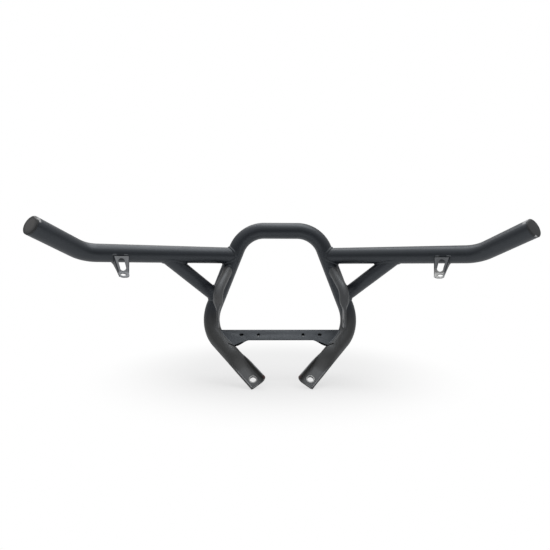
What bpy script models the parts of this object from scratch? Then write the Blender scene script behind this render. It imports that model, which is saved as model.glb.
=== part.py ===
"""ATV front bumper: a welded tube hoop with two swept wings, braces, arms, a cross plate and brackets.

Units are metres. +X is the vehicle's right, +Y its front, +Z up. The origin is the centre of the cross
plate's rear face. Everything is symmetric about X = 0.
"""
from math import cos, pi, radians, sin, tan

import bmesh
import bpy
from mathutils import Matrix, Vector

# Tube stock and clearances
TUBE_OD = 0.0381
BRACE_OD = 0.03175
ARM_OD = 0.0222
TUBE_WALL = 0.0021
ARM_WALL = 0.002
BEND_RADIUS = 0.070
JOINT_GAP = 0.0003
PRESSED_SLIT = 0.0005

# Hoop: half widths at the top corners and the lower bends, and the drop and lean between them
HOOP_TOP_HALF = 0.087
HOOP_BEND_HALF = 0.179
HOOP_DROP = 0.2305
HOOP_LEAN = 0.0135

# Lower legs: both lie in one plane, tilted back from upright, which the plate and the feet follow
FOOT_PLANE_TILT = radians(45.0)
LEG_IN = 0.1263
LEG_DOWN_SLOPE = 0.156

# Pressed feet: a trough in the end of each leg, with a bolt hole through both walls
PRESS_LENGTH = 0.104
PRESS_FLAT = 0.046
FOOT_FLOOR_DEPTH = 0.006
FOOT_OUTER_LIP = 0.0035
FOOT_INNER_LIP = 0.0115
FOOT_OUTER_RADIUS = 0.0032
FOOT_INNER_RADIUS = 0.0095
FOOT_EDGE_OUT = 0.0185
FOOT_EDGE_IN = 0.0208
FOOT_HOLE_D = 0.014
FOOT_HOLE_FROM_END = 0.0175

# Wings: a level run swept back from the hoop, then an end run turned back and up
WING_DROP = 0.0595
WING_RUN = 0.333
WING_SWEEP = radians(28.0)
END_RUN = 0.120
END_SWEEP = radians(60.0)
END_RISE = radians(21.8)

# Braces between wing and hoop
BRACE_ALONG_WING = 0.1705
BRACE_DROP = 0.160

# Mounting arms: from the back of the legs, bent down, ends flattened
ARM_DROP = 0.082
ARM_BACK = 0.058
ARM_SPREAD = 0.0236
ARM_KNEE_DROP = 0.141
ARM_END_DROP = 0.2245
ARM_BEND_RADIUS = 0.038
ARM_TOE_OUT = radians(2.0)
ARM_TAB_LENGTH = 0.033
ARM_TAPER_LENGTH = 0.029
ARM_TAB_CORNER = 0.0100
ARM_HOLE_D = 0.0105
ARM_HOLE_FROM_END = 0.014

# Cross plate, in the plane of the feet: its centre below the bends and its rear face above the legs' axes
PLATE_BELOW_BENDS = 0.036
PLATE_RISE = 0.0148
PLATE_THICKNESS = 0.003
PLATE_HEIGHT = 0.029
PLATE_END_HEIGHT = 0.0455
PLATE_STRAIGHT_HALF = 0.073
PLATE_CURVE_END = 0.105
PLATE_END_SLOPE = 0.35
PLATE_BITE = 0.007
PLATE_SLOT_HALF = 0.092
PLATE_SLOT_LENGTH = 0.0095
PLATE_SLOT_WIDTH = 0.0065
PLATE_HOLE_HALF = 0.0525
PLATE_HOLE_D = 0.0075

# Wing brackets: a folded sheet with two side flanges shaped to the tube and a sloping foot
BRACKET_ALONG_WING = 0.2642
BRACKET_SHEET = 0.0025
BRACKET_TOP_HALF = 0.0163
BRACKET_FOOT_HALF = 0.0099
BRACKET_FOOT_SHIFT = -0.0060
BRACKET_TOP_DROP = 0.0065
BRACKET_FOLD_DROP = 0.0392
BRACKET_BOTTOM_DROP = 0.049
BRACKET_REACH_OUTER = 0.0335
BRACKET_REACH_INNER = 0.0105
BRACKET_REACH_LOW = 0.0035
BRACKET_FLANGE_HOLLOW = 0.52
BRACKET_SPLAY = radians(4.0)
BRACKET_FOLD_RADIUS = 0.0026
BRACKET_SLOT_TOP_DROP = 0.0105
BRACKET_SLOT_BOTTOM_DROP = 0.0366
BRACKET_SLOT_TOP_D = 0.0128
BRACKET_SLOT_BOTTOM_D = 0.0124
BRACKET_SLOT_TOP_SHIFT = 0.0015
BRACKET_TAB_LENGTH = 0.0205
BRACKET_TAB_SLOPE = radians(32.0)
BRACKET_HOLE_D = 0.0112
BRACKET_HOLE_FROM_FOLD = 0.0108
BRACKET_HOLE_SHIFT = 0.0018
BRACKET_TAB_INSET_INNER = 0.0022
BRACKET_TAB_INSET_OUTER = 0.0004
BRACKET_TAB_ROOT = 0.0005
BRACKET_TAB_CORNER = 0.0080

# End caps
CAP_HEAD = 0.003
CAP_RIM_RADIUS = 0.0014
CAP_PLUG_LENGTH = 0.014
CAP_PLUG_WALL = 0.002
CAP_CROWN = 0.0006

# Weld beads
WELD_RADIUS = 0.0034
ARM_WELD_RADIUS = 0.0028
PLATE_WELD_RADIUS = 0.0024
BRACKET_WELD_RADIUS = 0.0026
BRACKET_WELD_LENGTH = 0.0095
BRACKET_WELD_HALF_SPAN = 0.0112
BRACKET_WELD_SHIFT = 0.0020
BRACKET_WELD_LIFT = 0.0019
BRACKET_WELD_BOW = 0.0008

# Facets
SECTION_POINTS = 24
SECTION_CROWDING = 0.2
ARM_POINTS = 16
BEVEL_SIDES = 20
BEAD_SIDES = 8
BEAD_STATIONS = 18
HOLE_SIDES = 16
CURVE_STEPS = 7
CORNER_STEPS = 6
FOLD_STEPS = 3
BEND_STEP = radians(12.5)
LIP_STEP = radians(18.0)
MERGE_DISTANCE = 0.00005

# Accuracy of the searches for where two surfaces meet
HALVINGS = 40
CONTACT_STEPS = 240

# Working directions: along the plane of the feet (up and forward) and out of it (up and back)
SLOPE_UP = Vector((0.0, sin(FOOT_PLANE_TILT), cos(FOOT_PLANE_TILT)))
SLOPE_OUT = Vector((0.0, -cos(FOOT_PLANE_TILT), sin(FOOT_PLANE_TILT)))


def on_side(side, point):
    """The point itself on the right (side 1) or its mirror image on the left (side -1)."""
    return Vector((side * point.x, point.y, point.z))


# Corner points of the centre lines, on the right side
BEND_CENTRE = SLOPE_UP * PLATE_BELOW_BENDS - SLOPE_OUT * PLATE_RISE
HOOP_BEND = BEND_CENTRE + Vector((HOOP_BEND_HALF, 0.0, 0.0))
HOOP_TOP = BEND_CENTRE + Vector((0.0, -HOOP_LEAN, HOOP_DROP))
HOOP_CORNER = HOOP_TOP + Vector((HOOP_TOP_HALF, 0.0, 0.0))
FOOT_END = HOOP_BEND - Vector((LEG_IN, 0.0, 0.0)) - SLOPE_UP * LEG_DOWN_SLOPE
LEG_DIRECTION = (FOOT_END - HOOP_BEND).normalized()

# The wing starts on the leg's axis
WING_START = HOOP_CORNER.lerp(HOOP_BEND, WING_DROP / HOOP_DROP)
WING_DIRECTION = Vector((cos(WING_SWEEP), -sin(WING_SWEEP), 0.0))
WING_BEND = WING_START + WING_DIRECTION * WING_RUN
END_DIRECTION = Vector((cos(END_RISE) * cos(END_SWEEP), -cos(END_RISE) * sin(END_SWEEP), sin(END_RISE)))
WING_END = WING_BEND + END_DIRECTION * END_RUN

BRACE_TOP = WING_START + WING_DIRECTION * BRACE_ALONG_WING
BRACE_FOOT = HOOP_CORNER.lerp(HOOP_BEND, BRACE_DROP / HOOP_DROP)

ARM_START = HOOP_CORNER.lerp(HOOP_BEND, ARM_DROP / HOOP_DROP)
ARM_KNEE = Vector((ARM_START.x + ARM_SPREAD, HOOP_TOP.y - ARM_BACK, HOOP_TOP.z - ARM_KNEE_DROP))
ARM_END = ARM_KNEE - Vector((0.0, 0.0, ARM_END_DROP - ARM_KNEE_DROP))


def rounded_path(corners, radius, step=BEND_STEP):
    """Points along straight runs joined at each inner corner by an arc of the given radius."""
    points = [corners[0]]
    for before, corner, after in zip(corners, corners[1:], corners[2:]):
        back = (before - corner).normalized()
        ahead = (after - corner).normalized()
        turn = pi - back.angle(ahead)
        centre = corner + (back + ahead).normalized() * (radius / cos(turn / 2))
        start = corner + back * (radius * tan(turn / 2)) - centre
        count = max(2, round(turn / step))
        for index in range(count + 1):
            angle = turn * index / count
            points.append(centre + start * cos(angle) - back * (radius * sin(angle)))
    points.append(corners[-1])
    return points


def point_along(points, distance):
    """The point of a polyline at a distance from its start, and the direction there."""
    for start, end in zip(points, points[1:]):
        length = (end - start).length
        if distance <= length or end is points[-1]:
            return start + (end - start) * (distance / length), (end - start).normalized()
        distance -= length
    return points[-1], (points[-1] - points[-2]).normalized()


def path_length(points):
    return sum((end - start).length for start, end in zip(points, points[1:]))


def distance_to_path(point, points):
    """How far a point lies from a polyline."""
    best = None
    for start, end in zip(points, points[1:]):
        run = end - start
        share = min(1.0, max(0.0, (point - start).dot(run) / run.length_squared))
        gap = (point - start - run * share).length
        best = gap if best is None else min(best, gap)
    return best


def seat_on(origin, direction, host, radius, reach):
    """Where a line that starts inside a host tube comes out of its surface."""
    low, high = 0.0, reach
    for _ in range(HALVINGS):
        middle = (low + high) / 2
        if distance_to_path(origin + direction * middle, host) < radius:
            low = middle
        else:
            high = middle
    return origin + direction * high


def smooth(value):
    value = min(1.0, max(0.0, value))
    return value * value * (3 - 2 * value)


# Materials
def finish(name, colour, roughness, metallic):
    material = bpy.data.materials.new(name)
    material.use_nodes = True
    shader = material.node_tree.nodes["Principled BSDF"]
    shader.inputs["Base Color"].default_value = (*colour, 1.0)
    shader.inputs["Roughness"].default_value = roughness
    shader.inputs["Metallic"].default_value = metallic
    material.diffuse_color = (*colour, 1.0)
    return material


# Objects and collections
def add_object(name, mesh, material, collection):
    obj = bpy.data.objects.new(name, mesh)
    mesh.materials.clear()
    mesh.materials.append(material)
    collection.objects.link(obj)
    return obj


def add_cutter(name, mesh, collection):
    obj = bpy.data.objects.new(name, mesh)
    collection.objects.link(obj)
    obj.hide_render = True
    obj.display_type = "WIRE"
    return obj


def boolean(obj, other, operation="DIFFERENCE"):
    modifier = obj.modifiers.new(f"{operation.lower()} {other.name}", "BOOLEAN")
    modifier.operation = operation
    modifier.solver = "EXACT"
    modifier.object = other


def shade(obj, angle=radians(35.0)):
    obj.data.shade_smooth()
    obj.data.set_sharp_from_angle(angle=angle)


def evaluated_mesh(obj):
    """The object's shape with its modifiers, as a mesh in world space with its seams welded."""
    bpy.context.view_layer.update()
    graph = bpy.context.evaluated_depsgraph_get()
    mesh = bpy.data.meshes.new_from_object(obj.evaluated_get(graph), depsgraph=graph)
    mesh.transform(obj.matrix_world)
    work = bmesh.new()
    work.from_mesh(mesh)
    bmesh.ops.remove_doubles(work, verts=work.verts, dist=0.00001)
    work.to_mesh(mesh)
    work.free()
    return mesh


def curve_mesh(name, splines, cyclic, depth=0.0, sides=BEVEL_SIDES, caps=True, extrude=0.0, matrix=None):
    """A mesh from a curve object: a round bar along a path, or a flat outline with a thickness."""
    curve = bpy.data.curves.new(name, "CURVE")
    curve.dimensions = "2D" if extrude else "3D"
    curve.fill_mode = "BOTH" if extrude else "FULL"
    curve.extrude = extrude
    curve.bevel_depth = depth
    curve.bevel_resolution = sides // 2 - 2 if depth else 0
    curve.use_fill_caps = caps and bool(depth)
    for points in splines:
        spline = curve.splines.new("POLY")
        spline.points.add(len(points) - 1)
        for target, point in zip(spline.points, points):
            target.co = (*point, 1.0)
        spline.use_cyclic_u = cyclic
    obj = bpy.data.objects.new(name, curve)
    bpy.context.scene.collection.objects.link(obj)
    if matrix is not None:
        obj.matrix_world = matrix
    mesh = evaluated_mesh(obj)
    bpy.data.objects.remove(obj)
    bpy.data.curves.remove(curve)
    return mesh


def basis(origin, x_axis, y_axis, z_axis):
    """A matrix with its origin and its three axes."""
    matrix = Matrix((x_axis, y_axis, z_axis)).transposed().to_4x4()
    matrix.translation = origin
    return matrix


def sheet_mesh(name, outlines, thickness, matrix):
    """Flat sheet metal: closed outlines in the matrix's XY plane, the inner ones being holes."""
    loops = [[(x, y, 0.0) for x, y in outline] for outline in outlines]
    return curve_mesh(name, loops, True, extrude=thickness / 2, matrix=matrix)


def bar_mesh(name, start, end, radius, sides):
    """A closed round bar between two points."""
    work = bmesh.new()
    axis = end - start
    turn = Vector((0.0, 0.0, 1.0)).rotation_difference(axis).to_matrix().to_4x4()
    place = Matrix.Translation((start + end) / 2) @ turn
    bmesh.ops.create_cone(work, cap_ends=True, segments=sides, radius1=radius, radius2=radius,
                          depth=axis.length, matrix=place)
    mesh = bpy.data.meshes.new(name)
    work.to_mesh(mesh)
    work.free()
    return mesh


def arc(centre_x, centre_y, radius, start, end, count):
    """Points on an arc, angles in degrees."""
    steps = [radians(start + (end - start) * index / count) for index in range(count + 1)]
    return [(centre_x + radius * cos(angle), centre_y + radius * sin(angle)) for angle in steps]


def circle(centre_x, centre_y, radius, count=HOLE_SIDES):
    return arc(centre_x, centre_y, radius, 0.0, 360.0, count)[:-1]


# Pressed tube sections
def section_angles(count):
    """Angles round a section, closer together at the two sides, where the walls fold."""
    angles = []
    for index in range(count):
        even = 2 * pi * index / count
        angles.append(even - SECTION_CROWDING * sin(2 * even))
    return angles


def round_loop(radius, angles):
    return [Vector((radius * cos(angle), radius * sin(angle), 0.0)) for angle in angles]


def pressed_loop(spine, fold, mid_radius, angles):
    """The middle of the wall when a tube is pressed flat along a spine, with a fold at each end."""
    length = path_length(spine)
    fold_angle = fold / mid_radius * pi / 2
    loop = []
    for angle in angles:
        signed = (angle + pi / 2) % (2 * pi) - pi / 2
        upper = signed < pi / 2
        from_side = signed if upper else signed - pi
        wall = 1 if (0 <= signed <= pi) else -1
        if abs(from_side) <= fold_angle:
            position, tangent = point_along(spine, 0.0 if upper else length)
            outward = -tangent if upper else tangent
            normal = Vector((tangent.y, -tangent.x, 0.0))
            share = from_side / fold_angle * pi / 2 * (1 if upper else -1)
            loop.append(position + (outward * cos(share) + normal * sin(share)) * fold)
        else:
            round_way = signed if wall > 0 else -signed if signed < 0 else 2 * pi - signed
            share = (round_way - fold_angle) / (pi - 2 * fold_angle)
            position, tangent = point_along(spine, share * length)
            loop.append(position + Vector((tangent.y, -tangent.x, 0.0)) * (fold * wall))
    return loop


def offset_loop(loop, distance):
    """The loop moved outwards by a distance, along the mean normal at each point."""
    moved = []
    for index, point in enumerate(loop):
        edge_in = point - loop[index - 1]
        edge_out = loop[(index + 1) % len(loop)] - point
        normal_in = Vector((edge_in.y, -edge_in.x, 0.0)).normalized()
        normal_out = Vector((edge_out.y, -edge_out.x, 0.0)).normalized()
        normal = (normal_in + normal_out).normalized()
        moved.append(point + normal * distance)
    return moved


def frames_from_end(points, side_at_end):
    """A side vector at each point, carried back from the end without twist, with the tangents."""
    tangents = []
    for index in range(len(points)):
        before = points[max(0, index - 1)]
        after = points[min(len(points) - 1, index + 1)]
        tangents.append((after - before).normalized())
    tangents[0] = (points[1] - points[0]).normalized()
    sides = [None] * len(points)
    sides[-1] = (side_at_end - tangents[-1] * side_at_end.dot(tangents[-1])).normalized()
    for index in range(len(points) - 2, -1, -1):
        turn = tangents[index + 1].rotation_difference(tangents[index])
        side = turn @ sides[index + 1]
        sides[index] = (side - tangents[index] * side.dot(tangents[index])).normalized()
    return list(zip(points, tangents, sides))


def place_loop(work, loop, centre, side, up):
    return [work.verts.new(centre + side * point.x + up * point.y) for point in loop]


def tube_loft(name, frames, sections, open_start):
    """A tube with a wall, lofted through unlike sections given as (outer loop, inner loop)."""
    work = bmesh.new()
    rings = []
    for (centre, tangent, side), loops in zip(frames, sections):
        up = tangent.cross(side)
        rings.append([place_loop(work, loop, centre, side, up) for loop in loops])
    count = len(rings[0][0])
    for index in range(count):
        following = (index + 1) % count
        for (outer_a, inner_a), (outer_b, inner_b) in zip(rings, rings[1:]):
            work.faces.new((outer_a[index], outer_a[following], outer_b[following], outer_b[index]))
            work.faces.new((inner_a[index], inner_b[index], inner_b[following], inner_a[following]))
        outer, inner = rings[-1]
        work.faces.new((outer[index], outer[following], inner[following], inner[index]))
        if not open_start:
            outer, inner = rings[0]
            work.faces.new((outer[index], inner[index], inner[following], outer[following]))
    mesh = bpy.data.meshes.new(name)
    work.to_mesh(mesh)
    work.free()
    return mesh


def pressed_sections(distances, full, ramp, mid_radius, wall, spine, count):
    """Sections at distances from a tube's end: pressed for the first stretch, then opening to round."""
    angles = section_angles(count)
    fold = (PRESSED_SLIT + wall) / 2
    flat = pressed_loop(spine, fold, mid_radius, angles)
    circle = round_loop(mid_radius, angles)
    sections = []
    for distance in distances:
        share = smooth((full + ramp - distance) / ramp)
        middle = [a.lerp(b, share) for a, b in zip(circle, flat)]
        sections.append((offset_loop(middle, wall / 2), offset_loop(middle, -wall / 2)))
    return sections


def end_distances(points):
    """The distance of each point of a polyline from its end."""
    total = path_length(points)
    distances = [total]
    for start, end in zip(points, points[1:]):
        distances.append(distances[-1] - (end - start).length)
    return distances


# Main hoop
def hoop_half_points():
    """The right half's centre line, from the middle of the top run to the foot."""
    points = rounded_path([HOOP_TOP, HOOP_CORNER, HOOP_BEND, FOOT_END], BEND_RADIUS)
    ramp = PRESS_LENGTH - PRESS_FLAT
    marks = [PRESS_FLAT + ramp * (1 - index / CURVE_STEPS) for index in range(CURVE_STEPS + 1)]
    marks.append(PRESS_FLAT / 2)
    stations = [FOOT_END - LEG_DIRECTION * mark for mark in marks]
    return points[:-1] + stations + [FOOT_END]


def foot_spine():
    """The pressed wall's middle line across a foot: low outer lip, flat floor, high inner lip."""
    half = PRESSED_SLIT / 2 + TUBE_WALL
    floor = -FOOT_FLOOR_DEPTH - half
    outer = FOOT_EDGE_OUT - half
    inner = -FOOT_EDGE_IN + half
    corners = [
        Vector((outer, floor + FOOT_OUTER_LIP + half, 0.0)),
        Vector((outer, floor, 0.0)),
        Vector((inner, floor, 0.0)),
        Vector((inner, floor + FOOT_INNER_LIP + half, 0.0)),
    ]
    outer_part = rounded_path(corners[:3], FOOT_OUTER_RADIUS, LIP_STEP)[:-1]
    inner_part = rounded_path(corners[1:], FOOT_INNER_RADIUS, LIP_STEP)[1:]
    return outer_part + inner_part


def make_hoop(collection, cutters, material):
    points = hoop_half_points()
    side = SLOPE_OUT.cross(LEG_DIRECTION)
    frames = frames_from_end(points, side)
    mid_radius = (TUBE_OD - TUBE_WALL) / 2
    ramp = PRESS_LENGTH - PRESS_FLAT
    sections = pressed_sections(end_distances(points), PRESS_FLAT, ramp, mid_radius, TUBE_WALL,
                                foot_spine(), SECTION_POINTS)
    mesh = tube_loft("main_hoop", frames, sections, open_start=True)
    hoop = add_object("main_hoop", mesh, material, collection)
    mirror = hoop.modifiers.new("left half", "MIRROR")
    mirror.use_axis = (True, False, False)
    mirror.use_mirror_merge = True
    mirror.merge_threshold = MERGE_DISTANCE
    for side_sign, word in ((1, "right"), (-1, "left")):
        centre = on_side(side_sign, FOOT_END - LEG_DIRECTION * FOOT_HOLE_FROM_END)
        mesh = bar_mesh(f"foot_hole_{word}", centre - SLOPE_OUT * TUBE_OD, centre + SLOPE_OUT * TUBE_OD,
                        FOOT_HOLE_D / 2, BEVEL_SIDES)
        boolean(hoop, add_cutter(f"foot_hole_{word}", mesh, cutters))
    shade(hoop)


def hoop_path():
    """The whole hoop's centre line, left foot to right foot."""
    right = rounded_path([HOOP_TOP, HOOP_CORNER, HOOP_BEND, FOOT_END], BEND_RADIUS)
    return [on_side(-1, point) for point in reversed(right[1:])] + right[1:]


def wing_path(side):
    corners = [on_side(side, point) for point in (WING_START, WING_BEND, WING_END)]
    return rounded_path(corners, BEND_RADIUS)


def clearance(radius, sides):
    """A cutter's radius whose flats stay one joint gap clear of a tube of this radius."""
    return (radius + JOINT_GAP) / cos(pi / sides)


# Plain tubes
def tube_object(name, points, diameter, wall, material, collection):
    mesh = curve_mesh(name, [points], False, depth=diameter / 2, caps=False)
    work = bmesh.new()
    work.from_mesh(mesh)
    bmesh.ops.recalc_face_normals(work, faces=work.faces)
    work.to_mesh(mesh)
    work.free()
    obj = add_object(name, mesh, material, collection)
    solidify = obj.modifiers.new("wall", "SOLIDIFY")
    solidify.thickness = wall
    solidify.offset = -1.0
    solidify.use_even_offset = True
    shade(obj)
    return obj


# Weld beads
def joint_ring(start, end, diameter, host, host_diameter):
    """The line round a tube's end where its surface meets the host tube's surface."""
    axis = (end - start).normalized()
    across = axis.orthogonal().normalized()
    over = axis.cross(across)
    ring = []
    for index in range(BEAD_STATIONS):
        angle = 2 * pi * index / BEAD_STATIONS
        offset = (across * cos(angle) + over * sin(angle)) * (diameter / 2)
        ring.append(seat_on(start + offset, axis, host, host_diameter / 2, (end - start).length))
    return ring


def make_bead(name, points, cyclic, radius, cutter_list, material, collection):
    mesh = curve_mesh(name, [points], cyclic, depth=radius, sides=BEAD_SIDES)
    bead = add_object(name, mesh, material, collection)
    for cutter in cutter_list:
        boolean(bead, cutter)
    shade(bead)


# Mounting arms
def make_arm(side, word, collection, cutters, hoop_cutter, material):
    corners = [on_side(side, point) for point in (ARM_START, ARM_KNEE, ARM_END)]
    points = rounded_path(corners, ARM_BEND_RADIUS)
    down = (corners[2] - corners[1]).normalized()
    marks = [ARM_TAB_LENGTH + ARM_TAPER_LENGTH * (1 - index / CURVE_STEPS)
             for index in range(CURVE_STEPS + 1)]
    points = points[:-1] + [corners[2] - down * mark for mark in marks] + [corners[2]]
    tab_side = Vector((-side * sin(ARM_TOE_OUT), -cos(ARM_TOE_OUT), 0.0))
    frames = frames_from_end(points, tab_side)
    mid_radius = (ARM_OD - ARM_WALL) / 2
    half_width = (pi * mid_radius - pi * (PRESSED_SLIT + ARM_WALL) / 2) / 2
    spine = [Vector((half_width, 0.0, 0.0)), Vector((-half_width, 0.0, 0.0))]
    sections = pressed_sections(end_distances(points), ARM_TAB_LENGTH, ARM_TAPER_LENGTH, mid_radius,
                                ARM_WALL, spine, ARM_POINTS)
    mesh = tube_loft(f"mounting_arm_{word}", frames, sections, open_start=False)
    arm = add_object(f"mounting_arm_{word}", mesh, material, collection)
    boolean(arm, hoop_cutter)
    across = tab_side.cross(down)
    hole = corners[2] - down * ARM_HOLE_FROM_END
    mesh = bar_mesh(f"arm_hole_{word}", hole - across * ARM_OD, hole + across * ARM_OD, ARM_HOLE_D / 2,
                    HOLE_SIDES)
    boolean(arm, add_cutter(f"arm_hole_{word}", mesh, cutters))
    trim = end_trim_mesh(f"arm_trim_{word}", corners[2], down, tab_side, across,
                         half_width + ARM_WALL + PRESSED_SLIT)
    boolean(arm, add_cutter(f"arm_trim_{word}", trim, cutters))
    shade(arm)
    return corners


def end_trim_mesh(name, end, down, wide, across, half_width):
    """What is cut from a flattened end to round its two corners."""
    corner = ARM_TAB_CORNER
    beyond = half_width + corner
    outline = [(-beyond, corner), (-beyond, -corner)]
    outline += arc(-half_width + corner, -corner, corner, 180.0, 90.0, CORNER_STEPS)
    outline += arc(half_width - corner, -corner, corner, 90.0, 0.0, CORNER_STEPS)
    outline += [(beyond, -corner), (beyond, corner)]
    return sheet_mesh(name, [outline], ARM_OD, basis(end, wide, down, across))


# Cross plate
def plate_matrix(height):
    """The plate's plane, raised from its rear face by a height: X, up the slope, out of the plate."""
    return basis(SLOPE_OUT * height, Vector((1.0, 0.0, 0.0)), SLOPE_UP, SLOPE_OUT)


def plate_outline(host, grow=0.0):
    """Straight top edge, shallow middle, and ends that run down into the legs."""
    top = PLATE_HEIGHT / 2 + grow
    middle = -PLATE_HEIGHT / 2 - grow
    low = PLATE_HEIGHT / 2 - PLATE_END_HEIGHT - grow
    end = leg_contact(low, host) + PLATE_BITE
    tip = low + max(0.0, end - PLATE_CURVE_END) * PLATE_END_SLOPE
    right = [(leg_contact(height, host) + PLATE_BITE, height) for height in (top, (top + tip) / 2, tip)]
    right.append((PLATE_CURVE_END, low))
    span = PLATE_CURVE_END - PLATE_STRAIGHT_HALF
    for index in range(1, CURVE_STEPS + 1):
        share = index / CURVE_STEPS
        right.append((PLATE_CURVE_END - span * share, low + (middle - low) * smooth(share)))
    return right + [(-x, y) for x, y in reversed(right)]


def leg_contact(height, host):
    """How far out the plate's rear face meets the hoop at a height up the slope."""
    inner = SLOPE_UP * height
    outer = inner + Vector((HOOP_BEND_HALF, 0.0, 0.0))
    return HOOP_BEND_HALF * first_contact(inner, outer - inner, host)


def slot_outline(centre, length, width):
    straight = (length - width) / 2
    return (arc(centre + straight, 0.0, width / 2, -90.0, 90.0, CORNER_STEPS)
            + arc(centre - straight, 0.0, width / 2, 90.0, 270.0, CORNER_STEPS))


def make_plate(host, collection, cutters, hoop_cutter, material):
    holes = []
    for side in (1, -1):
        holes.append(slot_outline(side * PLATE_SLOT_HALF, PLATE_SLOT_LENGTH, PLATE_SLOT_WIDTH))
        holes.append(circle(side * PLATE_HOLE_HALF, 0.0, PLATE_HOLE_D / 2))
    middle = plate_matrix(-PLATE_THICKNESS / 2)
    mesh = sheet_mesh("cross_plate", [plate_outline(host)] + holes, PLATE_THICKNESS, middle)
    plate = add_object("cross_plate", mesh, material, collection)
    boolean(plate, hoop_cutter)
    gap_mesh = sheet_mesh("plate_clearance", [plate_outline(host, JOINT_GAP)],
                          PLATE_THICKNESS + 2 * JOINT_GAP, middle)
    return add_cutter("plate_clearance", gap_mesh, cutters)


def plate_weld_points(side, host):
    """Along the plate's rear face, where its end meets the leg."""
    low = PLATE_HEIGHT / 2 - PLATE_END_HEIGHT + PLATE_WELD_RADIUS * 2
    high = PLATE_HEIGHT / 2 - PLATE_WELD_RADIUS
    heights = [low + (high - low) * index / CURVE_STEPS for index in range(CURVE_STEPS + 1)]
    return [on_side(side, SLOPE_UP * height + Vector((leg_contact(height, host), 0.0, 0.0)))
            for height in heights]


def first_contact(origin, span, host):
    """The share of a span at which it first meets the hoop's surface."""
    for index in range(CONTACT_STEPS):
        share = index / CONTACT_STEPS
        if distance_to_path(origin + span * share, host) <= TUBE_OD / 2 + JOINT_GAP:
            return share
    return 1.0


# Wing brackets
def bracket_frame(side):
    """Along the wing outwards, up, and out towards the rear; the origin on the wing's axis."""
    along = on_side(side, WING_DIRECTION)
    up = Vector((0.0, 0.0, 1.0))
    rear = Vector((-side * sin(WING_SWEEP), -cos(WING_SWEEP), 0.0))
    return on_side(side, WING_START) + along * BRACKET_ALONG_WING, along, up, rear


def bracket_edge(end, drop):
    """How far a side of the bracket lies along the wing at a height below its axis: end 1 is the outer."""
    share = (drop - BRACKET_TOP_DROP) / (BRACKET_BOTTOM_DROP - BRACKET_TOP_DROP)
    centre = BRACKET_FOOT_SHIFT * share
    half = BRACKET_TOP_HALF + (BRACKET_FOOT_HALF - BRACKET_TOP_HALF) * share
    return centre + end * half


def face_offset():
    """From the wing's axis to the middle of the bracket's face."""
    return TUBE_OD / 2 + JOINT_GAP + BRACKET_SHEET / 2


def bracket_reach(end, drop):
    """How far forward of the face a side flange runs at a height below the wing's axis."""
    full = BRACKET_REACH_OUTER if end > 0 else BRACKET_REACH_INNER
    under_tube = TUBE_OD / 2 + JOINT_GAP
    if drop <= under_tube:
        return full
    share = (drop - under_tube) / (BRACKET_BOTTOM_DROP - under_tube)
    return full + (BRACKET_REACH_LOW - full) * share ** BRACKET_FLANGE_HOLLOW


def bracket_row(drop):
    """The folded sheet's middle line seen from above, as (along the wing, out from its axis)."""
    inner = bracket_edge(-1, drop) + BRACKET_SHEET / 2
    outer = bracket_edge(1, drop) - BRACKET_SHEET / 2
    face = face_offset()
    fold = BRACKET_FOLD_RADIUS
    splay = (bracket_reach(1, drop) - fold) * tan(BRACKET_SPLAY)
    row = [(inner, face - bracket_reach(-1, drop))]
    row += arc(inner + fold, face - fold, fold, 180.0, 90.0, FOLD_STEPS)
    row += arc(outer - fold, face - fold, fold, 90.0, 0.0, FOLD_STEPS)
    row.append((outer + splay, face - bracket_reach(1, drop)))
    return row


def bracket_channel(name, origin, along, up, rear):
    """The face and its two flanges as one open surface."""
    under_tube = TUBE_OD / 2 + JOINT_GAP
    drops = [BRACKET_TOP_DROP, under_tube]
    drops += [under_tube + (BRACKET_BOTTOM_DROP - under_tube) * (index + 1) / CURVE_STEPS
              for index in range(CURVE_STEPS)]
    work = bmesh.new()
    rows = []
    for drop in drops:
        rows.append([work.verts.new(origin + along * x + rear * y - up * drop) for x, y in bracket_row(drop)])
    for upper, lower in zip(rows, rows[1:]):
        for index in range(len(upper) - 1):
            work.faces.new((upper[index], upper[index + 1], lower[index + 1], lower[index]))
    mesh = bpy.data.meshes.new(name)
    work.to_mesh(mesh)
    work.free()
    return mesh


def bracket_openings(matrix):
    """What is cut from the face: the tapered slot, and the gap between the flanges under the fold."""
    top_radius, low_radius = BRACKET_SLOT_TOP_D / 2, BRACKET_SLOT_BOTTOM_D / 2
    top_drop = BRACKET_SLOT_TOP_DROP + top_radius
    low_drop = BRACKET_SLOT_BOTTOM_DROP - low_radius
    top_x = (bracket_edge(1, top_drop) + bracket_edge(-1, top_drop)) / 2 + BRACKET_SLOT_TOP_SHIFT
    low_x = (bracket_edge(1, low_drop) + bracket_edge(-1, low_drop)) / 2
    slot = arc(top_x, -top_drop, top_radius, 0.0, 180.0, HOLE_SIDES // 2)
    slot += arc(low_x, -low_drop, low_radius, 180.0, 360.0, HOLE_SIDES // 2)
    fold = BRACKET_FOLD_DROP + BRACKET_SHEET / 2
    below = BRACKET_BOTTOM_DROP + BRACKET_SHEET
    inset = BRACKET_SHEET + JOINT_GAP
    gap = [(bracket_edge(-1, fold) + inset, -fold), (bracket_edge(-1, below) + inset, -below),
           (bracket_edge(1, below) - inset, -below), (bracket_edge(1, fold) - inset, -fold)]
    depth = (BRACKET_FOLD_RADIUS + BRACKET_SHEET) * 2
    return (sheet_mesh("bracket_slot", [slot], depth, matrix),
            sheet_mesh("bracket_gap", [gap], depth, matrix))


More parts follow.
